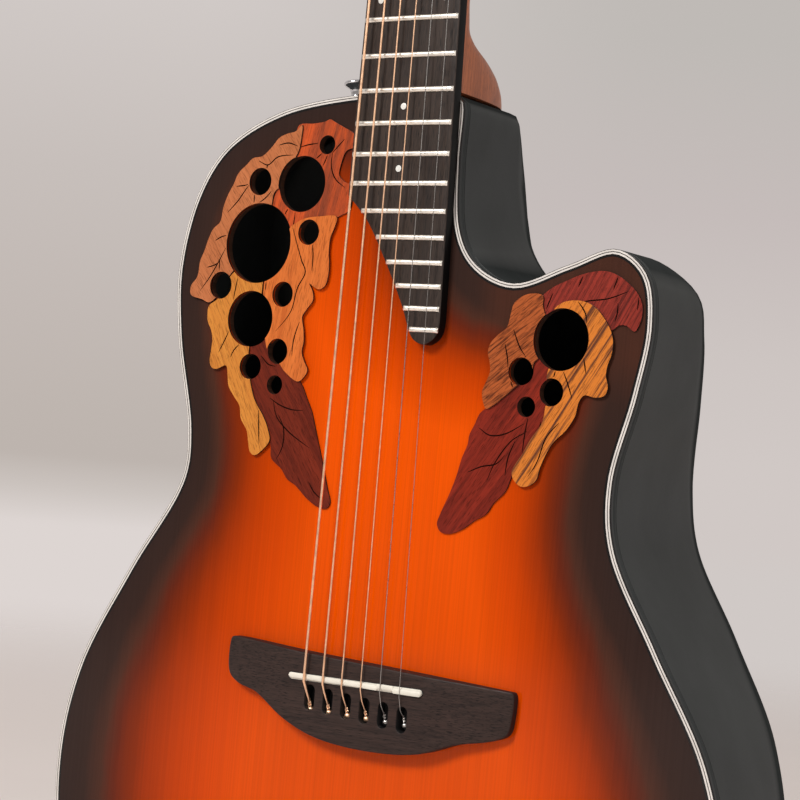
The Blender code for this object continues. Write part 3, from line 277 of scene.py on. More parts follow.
# (z, depth) of the bowl's straight wall and of its back, in millimetres behind the soundboard
WALL_DEPTH = [(-356, 57), (-393, 60), (-430, 71), (-500, 78), (-545, 82), (-600, 83), (-668, 65),
              (-750, 50), (-847, 47)]
BACK_DEPTH = [(-356, 66), (-393, 82), (-430, 96), (-490, 110), (-550, 117.5), (-600, 120),
              (-700, 120), (-780, 120), (-847, 112)]
# The cutaway's horn is shallower than the rest of the bowl.
HORN_WALL_DEPTH = [(-430, 32), (-447, 49), (-464, 50), (-510, 64), (-560, 82)]
HORN_BACK_DEPTH = [(-430, 62), (-447, 77), (-464, 84), (-510, 105), (-560, 118)]
HORN_ACROSS = (45 * MM, 105 * MM)
HORN_ALONG = (-570 * MM, -500 * MM)
NECK_SECTIONS = [  # z, half width, y of the flat front, depth and squareness, in millimetres
    (28, 20, 6.6, 10.5, 3.2), (16, 21, 3.4, 12.2, 2.8), (5.4, 22.3, 0, 14.6, 2.4),
    (-20, 21.8, 0, 14.6, 2.2), (-150, 24.2, 0, 15.6, 2.2), (-290, 26.4, 0, 16.6, 2.2),
    (-318, 26.4, 0, 17.6, 2.3), (-327, 26.4, 0, 22, 2.4), (-331, 26.3, 0, 30, 2.6),
    (-335, 26.2, 0, 41, 2.9), (-340, 26, 0, 51, 3.1), (-347, 25.8, 0, 58, 3.3), (-355.6, 25.6, 0, 61, 3.4),
]


# Curves through listed points, as in the CAD

CURVE_STEPS = 12  # fine points between two listed ones


def cubic(before, start, end, after, lengths, share):
    """A smooth point between start and end. Lengths are those of the three stretches between the points."""
    earlier, own, later = lengths
    leaving = ((start - before) / earlier * own + (end - start) / own * earlier) / (earlier + own)
    arriving = ((end - start) / own * later + (after - end) / later * own) / (own + later)
    rest = 1 - share
    return (
        (1 + 2 * share) * rest**2 * start
        + share**2 * (3 - 2 * share) * end
        + own * share * rest * (rest * leaving - share * arriving)
    )


def smooth_curve(knots, count, closed):
    """Points spaced evenly along the smooth curve from the second knot to the last but one."""
    stretches = np.sqrt(np.linalg.norm(np.diff(knots, axis=0), axis=1))
    fine = []
    for i in range(1, len(knots) - 2):
        fine += [cubic(*knots[i - 1:i + 3], stretches[i - 1:i + 2], share)
                 for share in np.linspace(0, 1, CURVE_STEPS, endpoint=False)]
    fine = np.array(fine + [knots[-2]])
    travelled = np.concatenate([[0], np.cumsum(np.linalg.norm(np.diff(fine, axis=0), axis=1))])
    wanted = np.linspace(0, travelled[-1], count, endpoint=not closed)
    return np.column_stack([np.interp(wanted, travelled, places) for places in fine.T])


def smooth_loop(points, count):
    """A closed smooth curve through points in millimetres, as count points in metres."""
    knots = np.array(points, float) * MM
    return smooth_curve(np.vstack([knots[-1:], knots, knots[:2]]), count, True)


def smooth_path(points, count):
    """An open smooth curve through points in millimetres, as count points in metres."""
    knots = np.array(points, float) * MM
    return smooth_curve(np.vstack([2 * knots[0] - knots[1], knots, 2 * knots[-1] - knots[-2]]), count, False)


def smooth_value(stations, at):
    """A smooth curve through (position, value) stations in millimetres, read at a position in metres."""
    places, values = np.array(sorted(stations), float).T
    where = min(max(at / MM, places[0]), places[-1])
    i = min(int(np.searchsorted(places, where, side="right")) - 1, len(places) - 2)
    share = (where - places[i]) / (places[i + 1] - places[i])
    padded_places = np.concatenate([[2 * places[0] - places[1]], places, [2 * places[-1] - places[-2]]])
    padded = np.concatenate([[values[0]], values, [values[-1]]])
    return cubic(*padded[i:i + 4], np.diff(padded_places[i:i + 4]), share) * MM


def rise(low, high, at):
    """From 0 at low to 1 at high, in a straight line."""
    return np.clip((at - low) / (high - low), 0, 1)


def smooth_step(low, high, at):
    """From 0 at low to 1 at high, level at both ends."""
    share = rise(low, high, at)
    return share * share * (3 - 2 * share)


def mm(*values):
    return tuple(value * MM for value in values)


def turns(count):
    """Angles evenly round a full turn."""
    return 2 * math.pi * np.arange(count) / count


def outward_normals(loop):
    along = np.roll(loop, -1, axis=0) - np.roll(loop, 1, axis=0)
    normals = np.column_stack([-along[:, 1], along[:, 0]])
    normals /= np.linalg.norm(normals, axis=1)[:, None]
    signed_area = np.sum(loop[:, 0] * np.roll(loop[:, 1], -1) - np.roll(loop[:, 0], -1) * loop[:, 1])
    return -normals if signed_area > 0 else normals


def inset(loop, distance):
    return loop - outward_normals(loop) * distance


def circle(x, z, radius, count):
    return np.column_stack([x + radius * np.cos(turns(count)), z + radius * np.sin(turns(count))])


def inside(points, loop):
    """Which of the points lie inside the closed outline."""
    found = np.zeros(len(points), bool)
    for (ax, az), (bx, bz) in zip(loop, np.roll(loop, -1, axis=0)):
        crosses = (az > points[:, 1]) != (bz > points[:, 1])
        slope = (bx - ax) / (bz - az) if bz != az else 0.0
        found ^= crosses & (points[:, 0] < ax + slope * (points[:, 1] - az))
    return found


def distance_to(points, loop):
    """Distance from each point to the nearest of an outline's points."""
    nearest = np.full(len(points), np.inf)
    for corner in loop:
        nearest = np.minimum(nearest, np.hypot(*(points - corner).T))
    return nearest


# Meshes

GRID_CLEARANCE = 0.6  # as a share of the grid's spacing
WELD = 1e-7  # outline points nearer than this are one point
MERGE = 1e-6  # and so are a finished mesh's points
EDGE_STEPS = (1 / 3, 2 / 3, 1)  # a rounded edge's rings, as shares of a quarter turn
TUBE_START = (0.31, 0.9, 0.22)  # not along any of the wires
SMALLEST_RADIUS = 1e-5  # in millimetres, for the middle of a turned shape


def grid_within(loops, spacing):
    """Grid points inside the first loop and outside the others, clear of all their edges."""
    low, high = loops[0].min(axis=0), loops[0].max(axis=0)
    ticks = [np.arange(low[axis], high[axis], spacing) for axis in (0, 1)]
    grid = np.stack(np.meshgrid(*ticks), axis=-1).reshape(-1, 2)
    grid = grid[inside(grid, loops[0])]
    for hole in loops[1:]:
        grid = grid[~inside(grid, hole)]
    for loop in loops:
        grid = grid[distance_to(grid, loop) > spacing * GRID_CLEARANCE]
    return grid


def triangulate(loops, spacing):
    """Triangles inside the first loop and outside the others.

    Gives the points, the triangles, and the number that each of the loops' points has got.
    """
    grid = [grid_within(loops, spacing)] if spacing else []
    edges, first = [], 0
    for loop in loops:
        edges += [(first + i, first + (i + 1) % len(loop)) for i in range(len(loop))]
        first += len(loop)
    spots = [Vector(spot) for spot in np.vstack(loops + grid)]
    points, _, triangles, origins, _, _ = geometry.delaunay_2d_cdt(spots, edges, [], 0, WELD)
    points = np.array([tuple(point) for point in points])
    triangles = np.array([tuple(triangle) for triangle in triangles])
    middles = points[triangles].mean(axis=1)
    kept = inside(middles, loops[0])
    for hole in loops[1:]:
        kept &= ~inside(middles, hole)
    triangles = triangles[kept]
    a, b, c = points[triangles].transpose(1, 0, 2)
    backwards = np.cross(b - a, c - a) < 0
    triangles[backwards] = triangles[backwards][:, ::-1]
    return points, triangles, {old: new for new, olds in enumerate(origins) for old in olds}


class Shape:
    """Points and faces in metres, gathered before they become one mesh. A face picks a finish by number."""

    def __init__(self):
        self.points, self.faces, self.picks = [], [], []

    def add(self, points, faces, pick=0, frame=None):
        first = len(self.points)
        if frame is not None:
            points = [frame @ Vector(point) for point in points]
        self.points += [tuple(point) for point in points]
        self.faces += [tuple(first + i for i in face) for face in faces]
        self.picks += [pick] * len(faces) if isinstance(pick, int) else pick
        return self

    def loft(self, rings, pick=0, caps=True, frame=None):
        """Skins closed rings of equally many points. pick may give one finish for each band."""
        count = len(rings[0])
        bands = [pick] * (len(rings) - 1) if isinstance(pick, int) else pick
        faces, picks = [], []
        for band, own in enumerate(bands):
            low, high = band * count, (band + 1) * count
            for i in range(count):
                j = (i + 1) % count
                faces.append((low + i, low + j, high + j, high + i))
                picks.append(own)
        if caps:
            faces += [tuple(range(count)), tuple(range(len(bands) * count, (len(bands) + 1) * count))]
            picks += [bands[0], bands[-1]]
        return self.add([point for ring in rings for point in ring], faces, picks, frame)

    def turned(self, profile, frame, pick=0, sides=40):
        """Turns (radius, height) points in millimetres round the frame's Z."""
        rings = []
        for radius, height in profile:
            reach = max(radius, SMALLEST_RADIUS) * MM
            rings.append([(reach * math.cos(t), reach * math.sin(t), height * MM) for t in turns(sides)])
        return self.loft(rings, pick, False, frame)

    def block(self, low, high, edge, pick=0, frame=None):
        """A box between two corners, with rounded edges. All in millimetres."""
        low, high = Vector(low) * MM, Vector(high) * MM
        made = bmesh.new()
        size = Matrix.Diagonal((*(high - low), 1.0))
        bmesh.ops.create_cube(made, size=1.0, matrix=Matrix.Translation((low + high) / 2) @ size)
        bmesh.ops.bevel(made, geom=made.edges[:], offset=edge * MM, segments=3, profile=0.5, affect="EDGES")
        self.add([v.co for v in made.verts], [[v.index for v in f.verts] for f in made.faces], pick, frame)
        made.free()
        return self

    def tube(self, path, radius, sides, pick=0):
        """A round wire along a path. radius may be one value for each point."""
        path = np.array(path, float)
        radii = np.broadcast_to(radius, len(path))
        along = np.gradient(path, axis=0)
        along /= np.linalg.norm(along, axis=1)[:, None]
        side = np.cross(along[0], TUBE_START)
        rings = []
        for point, forward, thick in zip(path, along, radii):
            side = side - forward * np.dot(side, forward)
            side /= np.linalg.norm(side)
            other = np.cross(forward, side)
            rings.append([point + thick * (side * math.cos(t) + other * math.sin(t)) for t in turns(sides)])
        return self.loft(rings, pick)

    def slab(self, outline, holes, front, back, rim=0.0, hole_rim=0.0, spacing=0.0, picks=(0, 1), frame=None):
        """A plate from y = front to y = back, its front edges rounded, over (x, z) loops in metres.

        Its flat faces get the first of picks and its walls the second. With a spacing, its flats are a grid.
        """
        loops = [np.array(outline)] + [np.array(hole) for hole in holes]
        radii = [rim] + [-hole_rim] * len(holes)
        flats = [inset(loop, radius) if radius else loop for loop, radius in zip(loops, radii)]
        flat_points, triangles, numbers = triangulate(flats, spacing)
        total = len(flat_points)
        points = [(x, y, z) for y in (front, back) for x, z in flat_points]
        faces = [tuple(t) for t in triangles] + [tuple(total + t[::-1]) for t in triangles]
        picked = [picks[0]] * len(faces)
        first = 0
        for loop, radius in zip(loops, radii):
            rings = [[numbers[first + i] for i in range(len(loop))]]
            for deep, y in edge_levels(radius, front, back):
                rings.append(list(range(len(points), len(points) + len(loop))))
                points += [(x, y, z) for x, z in inset(loop, deep)]
            rings.append([total + i for i in rings[0]])
            for number, (upper, lower) in enumerate(zip(rings, rings[1:])):
                for i in range(len(loop)):
                    j = (i + 1) % len(loop)
                    faces.append((upper[i], upper[j], lower[j], lower[i]))
                picked += [picks[0] if radius and number < 2 else picks[1]] * len(loop)
            first += len(loop)
        return self.add(points, faces, picked, frame)


def edge_levels(radius, front, back):
    """(inset, y) of the rings between a plate's flats. A sharp edge has none."""
    if not radius:
        return []
    bends = [math.pi / 2 * share for share in EDGE_STEPS]
    rounded = [(radius * (1 - math.sin(bend)), front + abs(radius) * (1 - math.cos(bend))) for bend in bends]
    return rounded + [(0.0, back)]


def piece(name, shape, finishes, stands_for=(), body=ROOT, smooth=35.0):
    """Makes a mesh object of the shape, rides it on its body and hides the CAD nodes it stands for.

    Finishes are names from FINISHES, in the order that the shape's faces pick them.
    """
    mesh = bpy.data.meshes.new(name)
    mesh.from_pydata(shape.points, [], shape.faces)
    for finish in finishes.split():
        mesh.materials.append(FINISHES[finish])
    mesh.polygons.foreach_set("material_index", shape.picks)
    work = bmesh.new()
    work.from_mesh(mesh)
    bmesh.ops.remove_doubles(work, verts=work.verts, dist=MERGE)
    bmesh.ops.recalc_face_normals(work, faces=work.faces)
    work.to_mesh(mesh)
    work.free()
    mesh.polygons.foreach_set("use_smooth", [True] * len(mesh.polygons))
    mesh.set_sharp_from_angle(angle=math.radians(smooth))
    obj = bpy.data.objects.new(name, mesh)
    bpy.context.collection.objects.link(obj)
    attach(obj, body)
    if stands_for:
        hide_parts(*stands_for)
    return obj


def axis_frame(origin, out, across=(1.0, 0.0, 0.0)):
    """A frame with its Z along out, and its X as near to across as it can be."""
    z = Vector(out).normalized()
    x = (Vector(across) - z * Vector(across).dot(z)).normalized()
    made = Matrix((x, z.cross(x), z)).transposed().to_4x4()
    made.translation = origin
    return made


def screw_head(shape, frame, radius, pick=0, slot_pick=1):
    """A domed screw head with a cross in it, on the frame's XY plane. The radius is in millimetres."""
    dome = [(1, 0), (1, 0.25), (0.75, 0.45), (0.35, 0.52), (0, 0.53)]
    shape.turned([(out * radius, high * radius) for out, high in dome], frame, pick, 24)
    low, high = ([share * radius for share in corner] for corner in ((-0.55, -0.1, 0.2), (0.55, 0.1, 0.56)))
    # The cross is two bars in slot_pick's finish, near-black painted shade for the cut slots.
    for turn in (0.0, math.pi / 2):
        bar = frame @ Matrix.Rotation(turn + 0.4, 4, "Z")
        shape.block(low, high, 0.03 * radius, slot_pick, bar)


# Finishes


def srgb(red, green, blue):
    """A linear colour from screen values up to 255."""
    return tuple((v / 255 / 12.92) if v <= 10 else ((v / 255 + 0.055) / 1.055) ** 2.4
                 for v in (red, green, blue)) + (1.0,)


def scaled(colour, share):
    return tuple(share * v for v in colour[:3]) + (1.0,)


class Nodes:
    """Adds nodes to a tree. Inputs are given as sockets or as values."""

    def __init__(self, tree):
        self.tree = tree

    def node(self, kind, inputs=(), **settings):
        made = self.tree.nodes.new("ShaderNode" + kind)
        for name, value in settings.items():
            setattr(made, name, value)
        for key, value in dict(inputs).items():
            if isinstance(value, bpy.types.NodeSocket):
                self.tree.links.new(value, made.inputs[key])
            else:
                made.inputs[key].default_value = value
        return made

    def ramp(self, value, stops):
        made = self.node("ValToRGB", {"Fac": value})
        band = made.color_ramp
        while len(band.elements) < len(stops):
            band.elements.new(0.5)
        for element, (position, colour) in zip(band.elements, stops):
            element.position = position
            element.color = colour if isinstance(colour, tuple) else (colour, colour, colour, 1.0)
        return made.outputs[0]

    def mix(self, share, first, second, blend="MIX"):
        inputs = {0: share, 6: first, 7: second}
        return self.node("Mix", inputs, data_type="RGBA", blend_type=blend).outputs[2]

    def math(self, how, first, second):
        return self.node("Math", {0: first, 1: second}, operation=how).outputs[0]

    def spread(self, value, low, high, at_low=0.0, at_high=1.0, how="SMOOTHSTEP"):
        """Turns low into at_low and high into at_high."""
        return self.node("MapRange", {"Value": value, "From Min": low, "From Max": high, "To Min": at_low,
                                      "To Max": at_high}, interpolation_type=how).outputs[0]


class Finish(Nodes):
    """A material on one Principled shader. Cells are in millimetres, turns in degrees."""

    def __init__(self, name, **sockets):
        self.material = bpy.data.materials.new(name)
        self.material.use_nodes = True
        super().__init__(self.material.node_tree)
        self.shader = self.tree.nodes["Principled BSDF"]
        for socket, value in sockets.items():
            self.shader.inputs[socket.replace("_", " ")].default_value = value
        self.place = self.node("TexCoord").outputs["Object"]

    def noise(self, cell, turn=(0, 0, 0), detail=3.0, roughness=0.5, distortion=0.0, at=(0, 0, 0)):
        """Noise whose cells measure cell along the turned X, Y and Z."""
        vector = self.node("Mapping", {
            "Vector": self.place, "Location": mm(*at), "Scale": mm(*cell),
            "Rotation": [math.radians(v) for v in turn],
        }, vector_type="TEXTURE").outputs[0]
        return self.node("TexNoise", {"Vector": vector, "Scale": 1.0, "Detail": detail,
                                      "Roughness": roughness, "Distortion": distortion}).outputs[0]

    def feed(self, socket, value):
        self.tree.links.new(value, self.shader.inputs[socket])

    def bump(self, height, depth, strength):
        """Raises the surface by up to depth millimetres."""
        self.feed("Normal", self.node("Bump", {"Height": height, "Distance": depth * MM,
                                               "Strength": strength}).outputs[0])

    def worn(self, colour, bare):
        """Lightens the convex edges, where hands and cloth have rubbed."""
        edge = self.ramp(self.node("NewGeometry").outputs["Pointiness"], [(0.505, 0.0), (0.56, 0.5)])
        patchy = self.math("MULTIPLY", edge, self.noise((3, 3, 3), detail=4))
        return self.mix(patchy, colour, bare)

    def uneven_gloss(self, low, high, cell=(12, 12, 12)):
        """Roughness between low and high, in faint smears."""
        smears = self.noise(cell, detail=5, roughness=0.6)
        self.feed("Roughness", self.ramp(smears, [(0.35, low), (0.7, high)]))


# A clear gloss coat in place of the surface's own reflection
GLOSS = {"Coat_Weight": 1.0, "Coat_Roughness": 0.035, "Coat_IOR": 1.3, "Specular_IOR_Level": 0.0}

# Pores in millimetres
PORE_CELL = (0.32, 0.32, 5.0)
PORE_DEPTH = 0.04
PORE_WALL = (0.34, 0.43)  # the noise between the bottom of a pore and its rim


def wood(name, light, dark, across=1.6, along=60.0, turn=(0, 0, 0), pores=0.5, contrast=(0.34, 0.66),
         rough=(0.4, 0.52), **sockets):
    """Wood whose grain runs along the turned Z, in two screen colours."""
    light, dark = srgb(*light), srgb(*dark)
    finish = Finish(name, **sockets)
    figure = finish.noise((across, across, along), turn, 4, 0.55, 0.5)
    broad = finish.noise((across * 7, across * 7, along * 3), turn, 2, 0.5, 0.8, at=(37, 5, 11))
    share = finish.math("ADD", finish.math("MULTIPLY", figure, 0.65), finish.math("MULTIPLY", broad, 0.35))
    colour = finish.ramp(share, [(contrast[0], dark), (contrast[1], light)])
    pore = finish.noise(PORE_CELL, turn, 1, 0.4)
    mask = finish.math("MULTIPLY", finish.ramp(pore, [(PORE_WALL[0], 1.0), (PORE_WALL[1], 0.0)]), pores)
    finish.feed("Base Color", finish.mix(mask, colour, scaled(dark, 0.35)))
    finish.uneven_gloss(*rough)
    finish.bump(finish.ramp(pore, [(PORE_WALL[0], 0.0), (PORE_WALL[1], 1.0)]), PORE_DEPTH, 0.4 * pores)
    return finish.material


def plastic(name, colour, rough, fine, worn=None, **sockets):
    """Moulded plastic with a fine skin and faint blotches."""
    finish = Finish(name, **sockets)
    colour = srgb(*colour)
    tint = finish.ramp(finish.noise((9, 9, 9), detail=4), [(0.35, scaled(colour, 0.86)), (0.65, colour)])
    finish.feed("Base Color", finish.worn(tint, srgb(*worn)) if worn else tint)
    finish.uneven_gloss(*rough)
    finish.bump(finish.noise((0.35, 0.35, 0.35), detail=2), fine, 0.5)
    return finish.material


def metal(name, colour, rough, scratch=(0.3, 0.3, 5.0)):
    """Plated or drawn metal with hairlines and dulled patches."""
    finish = Finish(name, Metallic=1.0)
    colour = srgb(*colour)
    tint = finish.ramp(finish.noise((5, 5, 5), detail=5), [(0.3, scaled(colour, 0.8)), (0.6, colour)])
    finish.feed("Base Color", tint)
    finish.uneven_gloss(*rough, (2.5, 2.5, 2.5))
    finish.bump(finish.noise(scratch, detail=2), 0.004, 0.3)
    return finish.material


# The darkest stops are partly painted sheen: the stain is made a little lighter there, for the gloss seen on
# the dark edge.
BURST_STOPS = [  # how far in from the edge, as a share of the burst's full reach, and the stain there
    (0.0, (46, 34, 31)), (0.14, (51, 35, 30)), (0.207, (70, 41, 31)), (0.277, (94, 35, 18)),
    (0.347, (121, 40, 8)), (0.417, (147, 47, 4)), (0.487, (165, 53, 2)), (0.557, (180, 58, 0)),
    (0.7, (197, 65, 0)), (0.833, (208, 72, 0)), (1.0, (223, 80, 2)),
]
BURST_REACH = 3.0  # the full reach, as a multiple of BURST_HALF's distances


def sunburst():
    """Spruce stained from orange to nearly black at the edge, under a thin lacquer."""
    finish = Finish("sunburst_spruce", **{**GLOSS, "Coat_Weight": 0.5})
    depth = finish.node("Attribute", attribute_name="burst").outputs["Fac"]
    lines = finish.noise((0.9, 0.9, 260), (0, 0.6, 0), 3, 0.5)
    ripple = finish.noise((14, 14, 40), detail=3, distortion=0.4)
    wander = finish.math("MULTIPLY", finish.math("SUBTRACT", ripple, 0.5), 0.05)
    stain = finish.ramp(finish.math("ADD", depth, wander), [(at, srgb(*c)) for at, c in BURST_STOPS])
    grain = finish.ramp(lines, [(0.3, 0.84), (0.62, 1.0)])
    finish.feed("Base Color", finish.mix(0.8, stain, grain, "MULTIPLY"))
    finish.uneven_gloss(0.38, 0.5)
    finish.bump(lines, 0.03, 0.25)
    return finish.material


def bowl_skin():
    """Dark grey composite with a fine moulded grain. Its sheen fades where it is seen edge-on."""
    finish = Finish("bowl_composite", Specular_IOR_Level=0.0, Coat_IOR=1.25, Coat_Roughness=0.4)
    tint = finish.ramp(finish.noise((40, 40, 60), detail=6, roughness=0.6),
                       [(0.35, srgb(48, 51, 51)), (0.65, srgb(57, 60, 60))])
    facing = finish.node("LayerWeight", {"Blend": 0.5}).outputs["Facing"]
    finish.feed("Coat Weight", finish.ramp(facing, [(0.62, 1.0), (0.74, 0.0)]))
    speck = finish.ramp(finish.noise((0.7, 0.7, 0.7), detail=2), [(0.4, 0.82), (0.6, 1.0)])
    finish.feed("Base Color", finish.mix(0.6, tint, speck, "MULTIPLY"))
    finish.uneven_gloss(0.36, 0.46, (30, 30, 50))
    finish.bump(finish.noise((0.9, 0.9, 0.9), detail=3, roughness=0.6), 0.035, 0.5)
    return finish.material


LEAF_WOODS = {  # slot, colours, grain's turn about Y, its width and length in mm, contrast
    "leaf_bass_top": ("padauk_veneer", (194, 81, 38), (128, 60, 38), 12, 3.4, 50, (0.36, 0.62)),
    "leaf_bass_outer": ("maple_veneer", (184, 111, 70), (160, 93, 56), -38, 1.6, 30, (0.3, 0.65)),
    "leaf_bass_inner": ("tan_veneer", (206, 112, 52), (178, 88, 38), 8, 2.2, 50, (0.3, 0.65)),
    "leaf_bass_left": ("yellow_veneer", (204, 134, 58), (174, 102, 42), -28, 2.0, 60, (0.3, 0.65)),
    "leaf_bass_lower": ("red_veneer", (114, 41, 25), (74, 25, 17), -35, 2.0, 50, (0.3, 0.65)),
    "leaf_treble_top": ("red_veneer", (138, 50, 40), (82, 32, 28), 28, 1.0, 60, (0.36, 0.54)),
    "leaf_treble_inner": ("maple_veneer", (164, 84, 43), (90, 44, 25), 52, 0.8, 8, (0.38, 0.52)),
    "leaf_treble_outer": ("yellow_veneer", (200, 116, 46), (96, 56, 38), 32, 2.2, 120, (0.4, 0.48)),
    "leaf_treble_lower": ("red_veneer", (134, 42, 28), (84, 26, 19), 35, 1.6, 50, (0.3, 0.65)),
}


def leaf_wood(name):
    _, light, dark, turn, across, along, contrast = LEAF_WOODS[name]
    return wood(name + "_wood", light, dark, across, along, (0, turn, 0), 0.55, contrast, (0.36, 0.48),
                **GLOSS)


FINISHES = {
    "spruce": sunburst(),
    "bowl": bowl_skin(),
    "cut_wood": wood("cut_wood", (74, 46, 32), (40, 27, 20), 1.2, 8.0, (90, 0, 0)),
    "char": wood("charred_edge", (34, 22, 16), (20, 13, 10), 1.0, 4.0, (0, 40, 0), rough=(0.5, 0.7)),
    "vein": wood("engraved_vein", (30, 15, 10), (16, 8, 6), 1.0, 4.0, (0, 70, 0), rough=(0.5, 0.7),
                 Specular_IOR_Level=0.0),
    "white": plastic("binding_white", (216, 211, 205), (0.25, 0.36), 0.006, **GLOSS),
    "black": plastic("binding_black", (26, 25, 25), (0.25, 0.36), 0.006, **GLOSS),
    "grey": plastic("binding_grey", (44, 41, 40), (0.25, 0.36), 0.006, **GLOSS),
    "mahogany": wood("mahogany", (184, 104, 60), (140, 73, 40), 1.8, 70, (0, 1.5, 0), 0.6,
                     rough=(0.36, 0.48)),
    "board": wood("fingerboard_rosewood", (60, 48, 41), (34, 27, 24), 0.8, 45, (0, 1, 0), 0.9,
                  rough=(0.36, 0.48), Specular_IOR_Level=0.25),
    "board_edge": wood("fingerboard_edge", (12, 11, 11), (6, 6, 6), 1.0, 45,
                       rough=(0.4, 0.5), Specular_IOR_Level=0.15),
    "bridge": wood("bridge_rosewood", (58, 43, 38), (36, 26, 23), 0.7, 30, (0, 88, 0), 0.9,
                   rough=(0.4, 0.55), Specular_IOR_Level=0.2),
    "overlay": wood("overlay_rosewood", (56, 42, 34), (30, 22, 19), 1.4, 60, (-13, 2, 0), 0.8,
                    rough=(0.4, 0.52), Specular_IOR_Level=0.3),
    "bone": plastic("bone", (228, 224, 210), (0.3, 0.42), 0.01),
    "pearl": plastic("pearl_dot", (226, 226, 220), (0.18, 0.3), 0.006),
    "nickel": metal("fret_nickel", (252, 247, 236), (0.34, 0.44), (6, 0.3, 0.3)),
    "bronze": metal("bronze_winding", (255, 208, 170), (0.36, 0.46), (0.3, 0.3, 0.5)),
    "steel": metal("plain_steel", (176, 172, 168), (0.25, 0.35)),
    "chrome": metal("chrome", (222, 222, 224), (0.06, 0.16), (3, 3, 3)),
    "plastic": plastic("black_plastic", (30, 30, 32), (0.38, 0.5), 0.02, (70, 70, 72)),
    "mark": plastic("pale_mark", (208, 208, 202), (0.45, 0.6), 0.01),
    # Near-black painted shade for slots, holes and shaded walls; the preamp's display window gets the same
    # near-black.
    "recess": plastic("painted_shade_and_display", (12, 12, 13), (0.5, 0.7), 0.02),
    "bare_spruce": wood("bare_spruce", (206, 176, 132), (172, 136, 92), 1.4, 120, (0, 3, 0), 0.3,
                        rough=(0.55, 0.7)),
    **{name: leaf_wood(name) for name in LEAF_WOODS},
}


# Body

BINDING_SHOWS = 3.0 * MM  # the binding peeps out beside the fingerboard, where the CAD's edge is under it
BELOW_HEEL = (-356 * MM, -362 * MM)  # that shift grows to its full reach over the first of these heights
ABOVE_BEND = (-444 * MM, -408 * MM)  # and over the second, coming up from the cutaway
HEEL_SIDE = 15 * MM  # only what is further out than this moves


def body_loop(shows):
    """The CAD's outline a little inside its edge, moved out by so much beside the fingerboard."""
    loop = inset(smooth_loop(BODY_OUTLINE, 400), 0.2 * MM)
    beside = rise(*BELOW_HEEL, loop[:, 1]) * rise(*ABOVE_BEND, loop[:, 1])
    loop[:, 0] += shows * smooth_step(0, 1, np.where(loop[:, 0] > HEEL_SIDE, beside, 0))
    return loop


BODY_LOOP = body_loop(BINDING_SHOWS)
BACK_LOOP = body_loop(0.0)
HOLE_LOOPS = [circle(*mm(x, z, radius), 64 if radius > 10 else 36) for x, z, radius in SOUND_HOLES]
# The sunburst: (z, how far in from the edge the stain is half faded), in millimetres
BURST_HALF = [(-356, 35), (-470, 33), (-510, 32), (-560, 33), (-600, 36), (-640, 43), (-690, 48), (-847, 48)]
BURST_TREBLE = (-60 * MM, 60 * MM)  # across these the orange comes to reach further on the treble side
BURST_LOW = (-540 * MM, -660 * MM)  # and down these the middle comes to stay a little darker
BURST_LOW_LOSS = 0.17
HORN_FROM = ((0, 60 * MM), (-560 * MM, -480 * MM))  # up and out from here the stain stays off its darkest
HORN_FLOOR = 0.19


def burst_depth(points):
    """How deep each (x, z) point lies in the sunburst, from 0 at the edge to 1 where the orange is full."""
    x, z = points.T
    half = np.array([smooth_value(BURST_HALF, at) for at in z])
    depth = distance_to(points, smooth_loop(BODY_OUTLINE, 800)) / half
    faster = 1 + 0.5 * smooth_step(*BURST_TREBLE, x)
    depth = np.where(depth > 1, 1 + (depth - 1) * faster, depth)
    depth = np.minimum(np.clip(depth / BURST_REACH, 0, 1), 1 - BURST_LOW_LOSS * rise(*BURST_LOW, z))
    across, up = HORN_FROM
    return np.maximum(depth, HORN_FLOOR * rise(*across, x) * rise(*up, z))


def make_soundboard():
    edge = inset(BODY_LOOP, BINDING_WIDTH - 0.05 * MM)
    shape = Shape().slab(edge, HOLE_LOOPS, 0.0, BOARD_THICK, spacing=3.2 * MM)
    obj = piece("soundboard_top", shape, "spruce cut_wood", ["soundboard"])
    corners = np.array([vertex.co for vertex in obj.data.vertices])
    attribute = obj.data.attributes.new("burst", "FLOAT", "POINT")
    attribute.data.foreach_set("value", burst_depth(corners[:, [0, 2]]).astype(np.float32))


def make_binding():
    """Laid-up lines of plastic round the top, from the outer wall over a rounded edge to the soundboard."""
    edge = 0.3
    profile = [(0, 3.0, "bowl"), (0, 1.5, "black"), (0, edge, "black")]
    profile += [(edge * (1 - math.cos(t)), edge * (1 - math.sin(t)), "black") for t in (0.5, 1.0)]
    profile += [(edge, 0, "white"), (1.1, 0, "grey"), (1.5, 0, "white"), (2.35, 0, "black"),
                (3.5, 0, "black"), (3.5, 3.0, "black")]
    names = ["white", "black", "grey", "bowl"]
    rings = [[(x, y * MM, z) for x, z in inset(BODY_LOOP, away * MM)] for away, y, _ in profile]
    picks = [names.index(colour) for _, _, colour in profile[:-1]]
    shape = Shape().loft(rings + rings[:1], picks + [1], False)
    piece("binding_lines", shape, " ".join(names), ["binding"])


def bowl_depth(fraction, x, z):
    """How far behind the soundboard the bowl's outside is, at a fraction of the way to its edge."""
    horn = smooth_step(*HORN_ACROSS, x) * smooth_step(*HORN_ALONG, z)
    wall = smooth_value(WALL_DEPTH, z) * (1 - horn) + smooth_value(HORN_WALL_DEPTH, z) * horn
    back = smooth_value(BACK_DEPTH, z) * (1 - horn) + smooth_value(HORN_BACK_DEPTH, z) * horn
    return wall + (back - wall) * math.sqrt(1 - fraction**BOWL_SQUARENESS)


GROOVE = 2.4 * MM
BACK_SETBACK = 0.05 * MM  # the rounded back stays this much inside the CAD's
BACK_RINGS = 33
BOWL_WALL = 2.6 * MM


